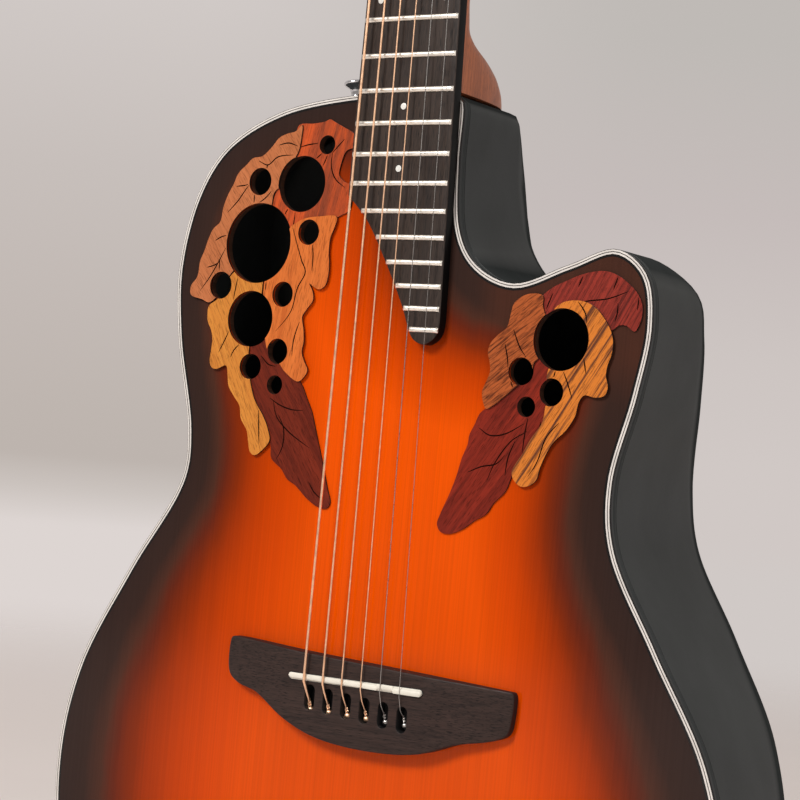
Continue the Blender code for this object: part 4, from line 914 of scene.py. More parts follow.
def make_bowl():
    """A straight wall with a moulded groove under its rim, rolling over into the rounded back."""
    rim = BOARD_THICK + GAP
    groove = rim + GROOVE
    levels = [(rim, 0.0), (groove, 0.0), (groove + 0.1 * MM, 0.3 * MM), (groove + 0.4 * MM, 0.3 * MM),
              (groove + 0.5 * MM, 0.0)]
    rings = [[(x, y, z) for x, z in inset(BODY_LOOP, deep)] for y, deep in levels]
    for share in (0.15, 0.35, 0.6, 0.85):
        loop = BODY_LOOP * (1 - share) + BACK_LOOP * share
        rings.append([(x, rim + (bowl_depth(1.0, x, z) - rim) * share, z) for x, z in loop])
    for fraction in 1 - np.linspace(0, 1, BACK_RINGS + 1)[:-1] ** 2.4:
        loop = BOWL_CENTRE + (BACK_LOOP - BOWL_CENTRE) * fraction
        rings.append([(x, bowl_depth(fraction, x, z) - BACK_SETBACK, z) for x, z in loop])
    shape = Shape().loft(rings, 0, False)
    x, z = BOWL_CENTRE
    count = len(BODY_LOOP)
    last = len(shape.points) - count
    shape.points.append((x, bowl_depth(0.0, x, z) - BACK_SETBACK, z))
    shape.faces += [(last + i, last + (i + 1) % count, last + count) for i in range(count)]
    shape.picks += [0] * count
    bowl = piece("bowl_shell", shape, "bowl", ["bowl"], smooth=60)
    shell = bowl.modifiers.new("Wall", "SOLIDIFY")
    shell.thickness = BOWL_WALL
    shell.offset = -1.0 if bowl.data.polygons[-1].normal.y > 0 else 1.0


VEIN_RADIUS = 0.38 * MM
VEIN_SUNK = 0.16 * MM  # how far a vein's middle lies under the leaf's face
VEIN_TAPER = (0.35, math.pi - 0.12)  # a vein's ends are cut from this stretch of a sine
CLEAR_OF_EDGE = 0.5 * MM
CLEAR_OF_HOLE = 0.4 * MM
SHORTEST_RUN = 6  # a vein's stretch with fewer points than this is left out
ARC_STEP = 0.6 * MM  # between the points of a sound hole's arc in a leaf's edge


def clipped(path, outline):
    """The stretches of a vein that lie inside its leaf and outside the sound holes."""
    kept = inside(path, inset(outline, CLEAR_OF_EDGE))
    for hole in HOLE_LOOPS:
        kept &= ~inside(path, inset(hole, -CLEAR_OF_HOLE))
    runs, run = [], []
    for point, keep in zip(path, kept):
        if keep:
            run.append(point)
        elif run:
            runs.append(run)
            run = []
    return [run for run in runs + [run] if len(run) >= SHORTEST_RUN]


def make_leaves():
    """Two levels of veneer leaves with burnt edges, engraved veins and the sound holes cut through them."""
    for leaves, lift in ((LOWER_LEAVES, GAP), (UPPER_LEAVES, 2 * GAP + LEAF_THICK)):
        for name, points in leaves.items():
            outline = smooth_loop(points, 260)
            front = -lift - LEAF_THICK
            shape = leaf_plate(outline, front, -lift + GAP)
            runs = [run for vein in LEAF_VEINS[name] for run in clipped(smooth_path(vein, 60), outline)]
            for run in runs:
                taper = VEIN_RADIUS * np.sin(np.linspace(*VEIN_TAPER, len(run))) ** 0.5
                shape.tube([(x, front + VEIN_SUNK, z) for x, z in run], taper, 8, 2)
            piece(name + "_inlay", shape, name + " char vein", [name])


def leaf_plate(outline, front, back):
    """A leaf's plate with the sound holes taken out of it, also where they cross its edge."""
    edge, within = outline, []
    for x, z, radius in np.array(SOUND_HOLES) * MM:
        if (np.hypot(outline[:, 0] - x, outline[:, 1] - z) < radius).any():
            edge = bite(edge, x, z, radius)
        elif inside(np.array([[x, z]]), outline)[0]:
            within.append(circle(x, z, radius, 48))
    return Shape().slab(edge, within, front, back)


def bite(outline, x, z, radius):
    """An outline whose points inside a circle are replaced by that circle's arc inside the outline."""
    hidden = np.hypot(outline[:, 0] - x, outline[:, 1] - z) < radius
    if not hidden.any() or hidden.all():
        return outline
    start = int(np.flatnonzero(~hidden & np.roll(hidden, -1))[0])
    order = np.roll(outline, -start, axis=0)
    hidden = np.roll(hidden, -start)
    made = []
    for i, point in enumerate(order):
        if not hidden[i]:
            made.append(point)
        elif not hidden[i - 1]:
            j = i
            while j < len(order) and hidden[j]:
                j += 1
            made += arc_inside(outline, (x, z), radius, order[i - 1], order[j % len(order)])
    return np.array(made)


def arc_inside(outline, centre, radius, leave, back):
    """A circle's arc between the directions of two points, on the side that is inside the outline."""
    x, z = centre
    from_turn, to_turn = (math.atan2(point[1] - z, point[0] - x) for point in (leave, back))
    sweep = (to_turn - from_turn) % (2 * math.pi)
    half = from_turn + sweep / 2
    spot = np.array([[x + radius * math.cos(half), z + radius * math.sin(half)]])
    if not inside(spot, outline)[0]:
        sweep -= 2 * math.pi
    steps = max(int(abs(sweep) * radius / ARC_STEP), 2)
    turned = [from_turn + sweep * step / steps for step in range(steps + 1)]
    return [np.array([x + radius * math.cos(turn), z + radius * math.sin(turn)]) for turn in turned]


# Neck, fingerboard and bridge

SECTION_STEPS = 40  # along the back of each of the neck's sections


def half_section(half_width, front, depth, squareness):
    """Half a squarish ellipse, from one side round the back to the other."""
    points = []
    for i in range(SECTION_STEPS + 1):
        turn = math.pi * i / SECTION_STEPS
        across, back = math.cos(turn), math.sin(turn)
        x = math.copysign(abs(across) ** (2 / squareness), across) * half_width
        points.append((x, front + depth * abs(back) ** (2 / squareness)))
    return points


def head_outline(bottom, margin):
    around = HEAD_HALF + [(-x, z) for x, z in reversed(HEAD_HALF[:-1])]
    outline = inset(smooth_loop(around, 160), margin)
    kept = outline[outline[:, 1] > bottom + 2 * MM]
    half_width = HEAD_HALF[1][0] * MM - margin
    return np.vstack([[half_width, bottom], kept, [-half_width, bottom]])


HEAD = Matrix.Translation((0, 0, HEAD_START_Z)) @ Matrix.Rotation(-HEAD_ANGLE, 4, "X")


def make_neck():
    """A rounded shaft that swells into the heel, and the headstock leaning back from it."""
    heights, *columns = zip(*NECK_SECTIONS)
    stretches = ((28, 5.4, 8), (2, -290, 34), (-294, -320, 8), (-321, -355.6, 44))  # closest at the heel
    places = np.concatenate([np.linspace(*stretch) for stretch in stretches])
    rings = []
    for place in places:
        values = [smooth_value(list(zip(heights, column)), place * MM) / MM for column in columns]
        rings.append([(x * MM, y * MM, place * MM) for x, y in half_section(*values)])
    shape = Shape().loft(rings)
    shape.slab(head_outline(0.0, 0.0), [], 0.0, HEAD_THICK, 0.4 * MM, picks=(0, 0), frame=HEAD)
    piece("neck_and_headstock", shape, "mahogany", ["neck"], smooth=50)


def make_head_overlay():
    outline = head_outline(1.2 * MM, 0.6 * MM)
    shape = Shape().slab(outline, [], -GAP - OVERLAY_THICK, 0.2 * MM, 0.5 * MM, picks=(0, 0), frame=HEAD)
    piece("headstock_face", shape, "overlay", ["headstock_overlay"])
    right = [(9.5, 4.5), (10.5, 12), (8.5, 24), (4, 33)]
    cover = [(0, 3), *right, (0, 35.5), *[(-x, z) for x, z in reversed(right)]]
    face = -2 * GAP - OVERLAY_THICK
    front = face - 1.8 * MM
    outline = smooth_loop(cover, 120)
    shape = Shape().slab(outline, [], front, face + GAP, 0.5 * MM, frame=HEAD)
    shape.slab(inset(outline, 1.2 * MM), [inset(outline, 1.6 * MM)], front - 0.05 * MM, face, 0.0,
               picks=(2, 2), frame=HEAD)
    for x, z in ((-7.2, 7.6), (7.2, 7.6), (0, 31)):
        frame = HEAD @ axis_frame((x * MM, front, z * MM), (0, -1, 0))
        screw_head(shape, frame, 1.5, 3, 4)
    piece("rod_cover", shape, "plastic plastic mark chrome recess", ["truss_rod_cover"])


def board_half_width(z):
    return BOARD_HALF_AT_NUT - BOARD_TAPER * z


def camber(x):
    """How far the fingerboard's top falls back beside its middle."""
    return x * x / (2 * BOARD_RADIUS)


def fret_z(number):
    return -SCALE_LENGTH * (1 - 2 ** (-number / 12))


def board_outline():
    end = smooth_path(BOARD_END, 90)
    half = BOARD_HALF_AT_NUT
    left = [(-board_half_width(z), z) for z in np.linspace(end[-1][1], -0.3 * MM, 24)[1:]]
    right = [(board_half_width(z), z) for z in np.linspace(-0.3 * MM, end[0][1], 30)[1:-1]]
    return np.array([*end, *left, (half, -0.3 * MM), *right])


DOTTED_FRETS = (3, 5, 7, 9, 12, 15, 17)
OCTAVE_DOTS = (-18.5, 18.5)  # in millimetres


def make_fingerboard():
    """The cambered board, with its slanted end and its dots, under separate frets."""
    outline = board_outline()
    shape = Shape().slab(outline, [], -BOARD_TOP, -0.02 * MM, 0.6 * MM, 0.0, 6 * MM)
    shape.points = [(x, y + camber(x) if y < -BOARD_TOP / 2 else y, z) for x, y, z in shape.points]
    for number in DOTTED_FRETS:
        z = (fret_z(number) + fret_z(number - 1)) / 2
        for x in (OCTAVE_DOTS if number == 12 else (0.0,)):
            frame = axis_frame((x * MM, camber(x * MM) - BOARD_TOP, z), (0, -1, 0))
            shape.turned([(1.6, -0.3), (1.6, 0.02), (1.5, 0.06), (0, 0.07)], frame, 2, 28)
    piece("fretboard", shape, "board board_edge pearl", ["fingerboard"])


def fret_left_end(z, outline):
    """Where a fret stops on the bass side: at the board's edge, or at its slanted end."""
    crossings = []
    for (ax, az), (bx, bz) in zip(outline, np.roll(outline, -1, axis=0)):
        if (az > z) != (bz > z):
            crossings.append(ax + (bx - ax) * (z - az) / (bz - az))
    return min(crossings)


FRET_SETBACK = 0.7 * MM  # from the board's sides
FRET_HALF_WIDTH = 1.3 * MM
FRET_SUNK = 0.3 * MM
FRET_ENDS = [(0.0, 0.2), (0.4 * MM, 0.75), (1.0 * MM, 1.0)]  # distance from an end, share of the height


def fret_ring(x, z, share):
    """A fret's section at x: a rounded crown of that share of its height, and its sunk foot."""
    board = camber(x) - BOARD_TOP
    ring = [(x, board - math.sin(t) * FRET_HEIGHT * share, z + math.cos(t) * FRET_HALF_WIDTH)
            for t in np.linspace(0, math.pi, 13)]
    return ring + [(x, board + FRET_SUNK, z - FRET_HALF_WIDTH), (x, board + FRET_SUNK, z + FRET_HALF_WIDTH)]


def make_frets():
    outline = board_outline()
    shape = Shape()
    for number in range(1, FRET_COUNT + 1):
        z = fret_z(number)
        left = fret_left_end(z, outline) + FRET_SETBACK
        right = board_half_width(z) - FRET_SETBACK
        stations = [(left + away, share) for away, share in FRET_ENDS]
        stations += [(x, 1.0) for x in np.linspace(left, right, 9)[1:-1]]
        stations += [(right - away, share) for away, share in reversed(FRET_ENDS)]
        shape.loft([fret_ring(x, z, share) for x, share in stations])
    piece("frets", shape, "nickel")


def string_places():
    """Each string's x at the nut and at the saddle, bass to treble."""
    shares = [i / 5 - 0.5 for i in range(6)]
    return [(NUT_SPREAD * share, SADDLE_SPREAD * share) for share in shares]


def make_nut():
    """A block with a rounded top, and a slot under each string."""
    half = BOARD_HALF_AT_NUT - 0.1 * MM
    places = [nut_x for nut_x, _ in string_places()]
    slots = [(x, diameter * MM / 2 + 0.12 * MM) for x, diameter in zip(places, STRINGS.values())]
    rings = []
    for x in np.linspace(-half, half, 260):
        in_slot = any(abs(x - place) < half_width for place, half_width in slots)
        over = 0 if in_slot else 0.7 * MM - max(0, abs(x) - half + 0.8 * MM) * 0.8
        high = (STRING_OVER_NUT + over) / MM
        section = [(0.4, 0.3), (0.4, high - 0.8), (0.7, high - 0.3), (1.3, high), (3.2, high - 0.25),
                   (4.4, high - 1.0), (4.9, high - 2.2), (4.9, 0.3)]
        rings.append([(x, -lift * MM, z * MM) for z, lift in section])
    piece("slotted_nut", Shape().loft(rings), "bone", ["nut"], smooth=40)


OBLONG_POINTS = 32


def oblong(x, z, half_width, half_length):
    """A slot's outline with round ends, along Z."""
    points = []
    for i in range(OBLONG_POINTS):
        turn = 2 * math.pi * (i + 0.5) / OBLONG_POINTS
        end = math.copysign(half_length - half_width, math.sin(turn))
        points.append((x + half_width * math.cos(turn), z + end + half_width * math.sin(turn)))
    return np.array(points)


SADDLE = Matrix.Translation((0.7 * MM, 0, SADDLE_Z)) @ Matrix.Rotation(math.radians(-1.0), 4, "Y")


def make_bridge():
    """A plate with rounded edges that thins towards its ends, six slots and a groove for the saddle."""
    slots = [oblong(0.978 * x + 1.9 * MM, -654.8 * MM - 0.06 * x, *mm(2.9, 6.2)) for _, x in string_places()]
    outline = smooth_loop(BRIDGE_OUTLINE, 260)
    # Below its rounded edge the walls are near-black painted shade, as are the slots' floors and the saddle
    # groove's floor.
    shape = Shape().slab(outline, slots, -BRIDGE_THICK, *mm(-0.02, 0.8, 0.4, 4))
    thin = math.tan(WING_SLOPE) / BRIDGE_THICK
    shape.points = [(x, y * (1 - max(abs(x) - WING_FROM, 0) * thin), z) for x, y, z in shape.points]
    for slot_at in slots:
        shape.slab(inset(slot_at, -0.4 * MM), [], -2.4 * MM, -0.5 * MM, picks=(1, 1))
    groove = oblong(0, 0, *mm(1.9, 39.2))[:, ::-1]
    shape.slab(groove, [], -8.72 * MM, -8.0 * MM, picks=(2, 2), frame=SADDLE)
    piece("bridge_plate_top", shape, "bridge recess recess", ["bridge"])


def make_saddle():
    """A strip of bone substitute whose crest steps back and forth so that each string plays in tune."""
    half, wide = 38.8 * MM, 1.6 * MM
    top = STRING_OVER_SADDLE - 0.1 * MM
    steps = [(-38.8, 0.5), (2.0, 0.1), (13.0, -0.3), (14.0, 0.6), (22.5, 0.5), (23.0, -0.5), (39, -0.6)]
    left, right = np.linspace(-half, -half + wide, 7), np.linspace(half - wide, half, 7)
    rings = []
    for x in np.concatenate([left, np.linspace(-36, 36, 145) * MM, right]):
        end = max(abs(x) - half + wide, 0) / wide
        w = wide * math.sqrt(max(1 - end**2, 0.01))
        crest = float(np.interp(x / MM, *zip(*steps))) * MM * w / wide
        y = 0.5 * MM * end**2 - top
        rings.append([(x, -5 * MM, -w), (x, y + 1.3 * MM, -w), (x, y + 0.3 * MM, crest - 0.75 * w),
                      (x, y, crest - 0.3 * w), (x, y, crest + 0.3 * w),
                      (x, y + 0.3 * MM, crest + 0.75 * w), (x, y + 1.3 * MM, w), (x, -5 * MM, w)])
    piece("stepped_saddle", Shape().loft(rings, frame=SADDLE), "bone", ["saddle"], smooth=25)


# Tuners


def tuner_places():
    """(name, side, x, z) of each post in the headstock's frame, in string order from bass to treble."""
    bass = [(f"bass_{i + 1}", -1, -POST_X, z) for i, z in enumerate(POST_ROWS)]
    treble = [(f"treble_{i + 1}", 1, POST_X, z) for i, z in enumerate(POST_ROWS)]
    return bass + treble[::-1]


# Chrome, with near-black painted shade in its slots and holes.
METAL = "chrome recess"
CASE_COLLAR = [(4.6, 8.9), (4.6, 10.3), (3.9, 11.3), (2.6, 11.4)]
POST_PROFILE = [(0, 15.9), (2.3, 15.9), (2.9, 15.3), (3.0, 12.0), (2.45, 10.6), (2.4, 7.0), (3.0, 5.6),
                (3.0, -18)]
POST_SLOT = [(0, 16.0), (0.9, 15.97), (1.2, 15.7)]
KEY_SHAFT = [(0, 5), (2.0, 5), (2.0, 20), (2.7, 21), (3.1, 23), (3.1, 24.6), (0, 25)]


def tuner_case(own, out, axis, lift):
    """A die-cast gear case behind the headstock, with its screw, and the bushing's washer in front."""
    back = (HEAD_THICK + GAP) / MM
    low, high = (-7.6, 13.2) if lift > 0 else (-13.2, 7.6)
    case = Shape().block((-9, back, low), (9.4, back + 11.6, high), 2.2, 0, own)
    case.block((-10.2, back - 0.2, -4), (-7, back + 2.2, 4), 0.9, 0, own)
    screw_head(case, own @ axis_frame(mm(-5.6, back + 11.5, -lift * 0.55), (0, 1, 0)), 1.3)
    face = (2 * GAP + OVERLAY_THICK) / MM
    washer = [(3.5, -0.3), (7.0, -0.3), (7.0, 0.9), (6.4, 1.7), (4.9, 2.0), (4.4, 2.8), (3.5, 2.8)]
    case.turned([(radius, face + height) for radius, height in washer], out)
    return case.turned(CASE_COLLAR, axis)


def tuner_knob(axis):
    """A flat oval button on its shaft, waisted in the middle."""
    rings = []
    for share in np.linspace(-1, 1, 25):
        body = max(1 - abs(share) ** 2.6, 0.0) ** 0.5
        thick = 4.6 * body * (1 - 0.3 * math.cos(share * 1.3) ** 2)
        wide, centre = 9.9 * body, 31.5 + 7.9 * share
        rings.append([mm(wide * math.cos(t), thick * math.sin(t), centre) for t in turns(36)])
    return Shape().turned(KEY_SHAFT, axis).loft(rings, 0, True, axis)


def make_tuner(name, side, x, z):
    """A gear case, a post through the headstock, and a key on a worm shaft."""
    turn = Matrix.Identity(4) if side > 0 else Matrix.Rotation(math.pi, 4, "Y")
    own = HEAD @ Matrix.Translation((x, 0, z)) @ turn
    lift = side * KEY_OFFSET / MM
    out = own @ axis_frame((0, 0, 0), (0, -1, 0))
    axis = own @ axis_frame((0, KEY_AXIS_Y, lift * MM), (1, 0, 0), (0, 0, 1))
    case = tuner_case(own, out, axis, lift)
    piece(f"tuner_case_{name}", case, METAL, [f"tuner_housing_{name}"])
    # The top of the post's string slot is near-black painted shade.
    post = Shape().turned(POST_PROFILE, out).turned(POST_SLOT, out, 1)
    piece(f"tuner_shaft_{name}", post, METAL, [f"tuner_post_{name}"], f"post_{name}")
    piece(f"tuner_knob_{name}", tuner_knob(axis), METAL, [f"tuner_key_{name}"], f"key_{name}", 50)


# Strings


WRAP_STEPS = 28  # points in one turn round a post
WRAP_POINTS = 53  # so a string goes round it nearly twice
TWIST_TURNS = 3.5


def string_route(number, radius):
    """From the slot behind the saddle, over saddle and nut, and round the tuner's post."""
    nut_x, saddle_x = string_places()[number]
    _, side, post_x, post_z = tuner_places()[number]
    route = [
        (saddle_x + 0.7 * MM, -4.6 * MM, -657.4 * MM),
        (saddle_x + 0.5 * MM, -BRIDGE_THICK - 0.15 * MM - radius, -650.2 * MM - 0.06 * saddle_x),
        (saddle_x, -STRING_OVER_SADDLE + 0.1 * MM - radius, SADDLE_Z - 2.2 * MM),
        (saddle_x, -STRING_OVER_SADDLE - radius, SADDLE_Z + 0.8 * MM),
        (saddle_x, -STRING_OVER_SADDLE - radius, SADDLE_Z + 1.5 * MM),
        (nut_x, -STRING_OVER_NUT - radius, 0.2 * MM),
        (nut_x, -STRING_OVER_NUT - radius, 3.6 * MM),
    ]
    wrap = POST_RADIUS + radius + 0.05 * MM
    for i in range(WRAP_POINTS):
        turn = 2 * math.pi * i / WRAP_STEPS
        height = WRAP_HEIGHT + 1.2 * MM - (2 * radius + 0.25 * MM) * i / WRAP_STEPS
        local = (post_x - side * wrap * math.cos(turn), -height, post_z + wrap * math.sin(turn))
        route.append(tuple(HEAD @ Vector(local)))
    return route


def ball_twist(x, radius):
    """The twisted stretch that locks a string's ball end."""
    twist = []
    for share in np.linspace(0, 1, 70):
        turn = share * TWIST_TURNS * 2 * math.pi
        reach = radius * 0.5 + 0.5 * MM * math.sin(math.pi * share)
        middle, y, z = mm(0.6 + 0.4 * share, -5.9 + share, -654.6 - 4.4 * share)
        twist.append((x + middle + reach * math.cos(turn), y, z + reach * math.sin(turn)))
    return twist


def make_strings():
    """Wound and plain strings, each with its twist and its ball end."""
    for number, (name, diameter) in enumerate(STRINGS.items()):
        radius = diameter * MM / 2
        shape = Shape().tube(string_route(number, radius), radius, 12)
        _, x = string_places()[number]
        shape.tube(ball_twist(x, radius), max(radius * 0.62, 0.28 * MM), 8)
        ball = axis_frame((x + 1.0 * MM, -4.4 * MM, -659.4 * MM), (1, 0.2, 0))
        shape.turned([(0.5, -1.2), (1.2, -1.2), (1.5, -0.6), (1.5, 0.6), (1.2, 1.2), (0.5, 1.2)], ball, 0, 20)
        wound = number < WOUND_STRINGS
        finish, slot = ("bronze", "bronze_string") if wound else ("steel", "steel")
        piece(name + "_wire", shape, finish, [name])


# Things fixed to the bowl's wall

WALL_POINTS = smooth_loop(BODY_OUTLINE, 1600)
WALL_NORMALS = outward_normals(WALL_POINTS)


def wall_frame(at, y, along=0.0):
    """On the bowl's wall near a point of the outline: +Z outwards, +Y back, +X along the wall."""
    step = np.linalg.norm(WALL_POINTS[1] - WALL_POINTS[0])
    nearest = int(np.argmin(np.linalg.norm(WALL_POINTS - at, axis=1)))
    place = nearest + along / step
    low = math.floor(place)
    share = place - low
    here, after = low % len(WALL_POINTS), (low + 1) % len(WALL_POINTS)
    x, z = WALL_POINTS[here] * (1 - share) + WALL_POINTS[after] * share
    normal = WALL_NORMALS[here] * (1 - share) + WALL_NORMALS[after] * share
    out = Vector((normal[0], 0, normal[1])).normalized()
    back = Vector((0, 1, 0))
    frame = Matrix((back.cross(out), back, out)).transposed().to_4x4()
    frame.translation = (x, y, z)
    return frame


def control_frame(along):
    return wall_frame(PREAMP_AT, sum(PREAMP_Y) / 2, along)


def rounded_box(half_x, half_z, corner, each=8):
    """A rectangle's outline with round corners."""
    points = []
    for quarter in range(4):
        centre_x = (half_x - corner) * (1 if quarter in (0, 3) else -1)
        centre_z = (half_z - corner) * (1 if quarter < 2 else -1)
        for i in range(each):
            turn = math.pi / 2 * (quarter + i / (each - 1))
            points.append((centre_x + corner * math.cos(turn), centre_z + corner * math.sin(turn)))
    return np.array(points)


MARK_TOP = -PREAMP_PROUD - 0.04 * MM
MARK_FOOT = -PREAMP_PROUD + 0.1 * MM
MARK_STEP = 2.0 * MM
KNOB_MARKS = range(-150, 151, 30)  # degrees
KNOB_MARK_REACH = 8.4 * MM


def preamp_marks(flat):
    """Pale ticks on both sides of the sliders, with a long one every fourth, and dots round the knob."""
    for at in SLIDER_PLACES.values():
        for row in range(-4, 5):
            width = 1.6 * MM if row % 4 == 0 else 0.9 * MM
            for side in (-1, 1):
                tick = rounded_box(width / 2, 0.16 * MM, 0.1 * MM, 3)
                tick = tick + np.array([at + side * (2.0 * MM + width / 2), row * MARK_STEP])
                flat.slab(tick, [], MARK_TOP, MARK_FOOT, picks=(3, 3))
    for degrees in KNOB_MARKS:
        turn = math.radians(degrees)
        x, z = KNOB_PLACE + KNOB_MARK_REACH * math.sin(turn), -KNOB_MARK_REACH * math.cos(turn)
        flat.slab(circle(x, z, 0.4 * MM, 12), [], MARK_TOP, MARK_FOOT, picks=(3, 3))


def make_preamp():
    """A panel bent to the wall, with slots for the sliders, scale marks, a display and four screws."""
    half = (PREAMP_LENGTH / 2, (PREAMP_Y[1] - PREAMP_Y[0]) / 2)
    slots = [oblong(at, 0, 1.1 * MM, SLIDER_HALF_SLOT) for at in SLIDER_PLACES.values()]
    display = rounded_box(*mm(5.2, 3.4, 0.6)) + np.array([BUTTON_PLACE - 0.4 * MM, -10.5 * MM])
    # The panel's walls and the slider slots' floors are near-black painted shade; the display window gets the
    # same near-black.
    flat = Shape().slab(rounded_box(*half, 4 * MM), slots + [display], -PREAMP_PROUD, *mm(0.4, 0.7, 0.2, 3))
    for slot_at in slots:
        flat.slab(inset(slot_at, -0.2 * MM), [], 0.0, 0.3 * MM, picks=(1, 1))
    flat.slab(inset(display, -0.2 * MM), [], -PREAMP_PROUD + 0.5 * MM, 0.0, picks=(2, 2))
    preamp_marks(flat)
    bent = [control_frame(x) @ Vector((0, z, -y)) for x, y, z in flat.points]
    shape = Shape().add(bent, flat.faces, flat.picks)
    corner_x, corner_y = half[0] - 4 * MM, half[1] - 4 * MM
    for along in (-corner_x, corner_x):
        for y in (-corner_y, corner_y):
            frame = control_frame(along) @ Matrix.Translation((0, y, PREAMP_PROUD - 0.1 * MM))
            screw_head(shape, frame, 1.5, 4, 1)
    piece("preamp_face", shape, "plastic recess recess mark chrome", ["preamp_panel"])


KNOB_RIBS = 24


def knob_ring(radius, height, ribbed):
    """A ring whose radius dips by so much between the knob's ribs. All in millimetres."""
    ring = []
    for t in turns(8 * KNOB_RIBS):
        reach = (radius - ribbed * (0.5 - 0.5 * math.cos(KNOB_RIBS * t))) * MM
        ring.append((reach * math.cos(t), reach * math.sin(t), height * MM))
    return ring


def make_controls():
    """Three slider caps on their stems, a ribbed volume knob and the tuner's button."""
    for name, along in SLIDER_PLACES.items():
        frame = control_frame(along)
        shape = Shape().block((-0.8, -1.6, -1.2), (0.8, 1.6, 3.4), 0.2, 0, frame)
        shape.block((-3.2, -2.4, 2.4), (3.2, 2.4, 5.6), 0.7, 0, frame)
        for rib in (-1.5, -0.75, 0.75, 1.5):
            shape.block((-2.9, rib - 0.16, 5.2), (2.9, rib + 0.16, 5.58), 0.12, 0, frame)
        shape.block((-2.7, -0.2, 5.2), (2.7, 0.2, 5.6), 0.1, 1, frame)
        piece(name + "_cap", shape, "plastic mark", [name], name)
    frame = control_frame(KNOB_PLACE)
    profile = [(6.5, 2.6, 0.1), (6.5, 4.2, 0.28), (6.15, 8.4, 0.28), (5.9, 9.0, 0.1), (5.4, 9.35, 0),
               (3.0, 9.35, 0), (0.01, 9.35, 0)]
    rings = [knob_ring(*station) for station in profile]
    knob = Shape().loft(rings, 0, True, frame)
    knob.turned([(2.0, 2.8), (2.0, -3.2), (0, -3.2)], frame)
    knob.block((-0.25, -5.2, 9.1), (0.25, -2.4, 9.4), 0.1, 1, frame)
    piece("volume_dial", knob, "plastic mark", ["volume_knob"], "volume_knob")
    frame = control_frame(BUTTON_PLACE)
    button = Shape().block((-2.7, -2.7, -1.4), (2.7, 2.7, 3.6), 0.6, 0, frame)
    button.turned([(1.1, 3.5), (1.1, 3.6), (0.9, 3.6), (0, 3.45)], frame, 1, 24)
    piece("tuner_push", button, "plastic mark", ["tuner_button"], "tuner_button")


STRAP_PROFILE = [(0, 12.6), (3.0, 12.55), (5.4, 12.3), (6.6, 11.9), (7.0, 11.3), (7.0, 10.6), (6.4, 9.9),
                 (4.4, 8.6), (3.7, 7.0), (3.6, 5.0), (3.9, 3.2), (4.8, 1.8), (6.4, 0.9), (6.6, 0.4), (6.6, 0)]


def make_strap_button(name, node, frame):
    shape = Shape().turned([(radius, height + GAP / MM) for radius, height in STRAP_PROFILE], frame)
    screw_head(shape, frame @ Matrix.Translation((0, 0, 11.4 * MM)), 2.2)
    piece(name, shape, METAL, [node], smooth=50)


def tail_frame(x, y):
    """On the tail of the bowl, with +Z pointing down out of it."""
    return Matrix.Translation((x * MM, y * MM, TAIL_Z)) @ Matrix.Rotation(math.pi, 4, "X")


def make_jack():
    frame = tail_frame(36, 26)
    shape = Shape().turned([(3.3, 2.2), (3.6, 2.55), (5.6, 2.6), (6.0, 2.2), (8.8, 2.1), (9.9, 1.6),
                            (10.4, 0.9), (10.4, 0), (3.3, 0), (3.3, -20)], frame)
    # The bore's floor is near-black painted shade.
    shape.turned([(3.3, -19), (0, -19.5)], frame, 1)
    piece("jack_plate", shape, METAL, ["output_jack"])


def make_access_cover():
    """A shallow round cover in the middle of the back, with a ring of ribs and four screws."""
    depth = max(value for _, value in BACK_DEPTH) * MM
    frame = Matrix.Translation((-2 * MM, depth, -655 * MM)) @ Matrix.Rotation(-math.pi / 2, 4, "X")
    profile = [(0, 3.2), (30, 3.05), (31, 2.6), (32, 2.6), (33, 3.02), (47, 2.75), (48, 2.3), (49, 2.3),
               (50, 2.6), (54, 2.4), (56, 1.9), (56.4, 1.4), (56.4, 0.2)]
    shape = Shape().turned(profile, frame, 0, 96)
    for i in range(36):
        rib = frame @ Matrix.Rotation(2 * math.pi * i / 36, 4, "Z")
        shape.block((35, -0.7, 2.4), (45.5, 0.7, 3.15), 0.3, 0, rib)
    for i in range(4):
        corner = frame @ Matrix.Rotation(math.pi / 4 + math.pi / 2 * i, 4, "Z")
        screw_head(shape, corner @ Matrix.Translation((52.2 * MM, 0, 2.1 * MM)), 1.7, 1, 2)
    piece("back_cover", shape, "plastic chrome recess", ["access_cover"])


def finish_kept_nodes():
    """The woodwork inside and the truss rod keep their CAD shapes and get finished materials."""
    kept = dict.fromkeys(("brace_bass", "brace_treble", "brace_upper", "bridge_plate"), "bare_spruce")
    kept |= {"neck_block": "mahogany", "truss_rod": "steel"}
    for node, finish in kept.items():
        for place in frame["nodes"][node].material_slots:
            place.material = FINISHES[finish]


# Studio

FLOOR_Z = CAD_BOX[0][2] - 2.5 * MM
FLOOR_REACH = 9.0
FLOOR_FADE = (1.4, 3.0)  # the floor melts into the backdrop's light between these distances


def make_floor():
    """A pale disc that fades out far behind the guitar, so that it has no edge. It is painted darker near the
    guitar, as painted shade.
    """
    finish = Finish("studio_floor", Specular_IOR_Level=0.2)
    reach = finish.node("VectorMath", {0: finish.place}, operation="LENGTH").outputs["Value"]
    # Painted shade: the floor's colour darkens towards the guitar.
    tint = finish.ramp(finish.math("DIVIDE", reach, FLOOR_REACH), [(0.14, FLOOR_SHADED_NEAR), (0.4, FLOOR_FAR)])
    blotch = finish.ramp(finish.noise((400, 400, 400), detail=4), [(0.3, 0.97), (0.7, 1.0)])
    finish.feed("Base Color", finish.mix(1.0, tint, blotch, "MULTIPLY"))
    finish.uneven_gloss(0.7, 0.85, (60, 60, 60))
    finish.feed("Alpha", finish.spread(reach, *FLOOR_FADE, 1.0, 0.0))
    mesh = bpy.data.meshes.new("studio_floor")
    ring = circle(0, 0, FLOOR_REACH, 96)
    mesh.from_pydata([(x, y, FLOOR_Z) for x, y in ring], [], [tuple(range(len(ring)))])
    mesh.materials.append(finish.material)
    floor = bpy.data.objects.new("studio_floor", mesh)
    bpy.context.collection.objects.link(floor)
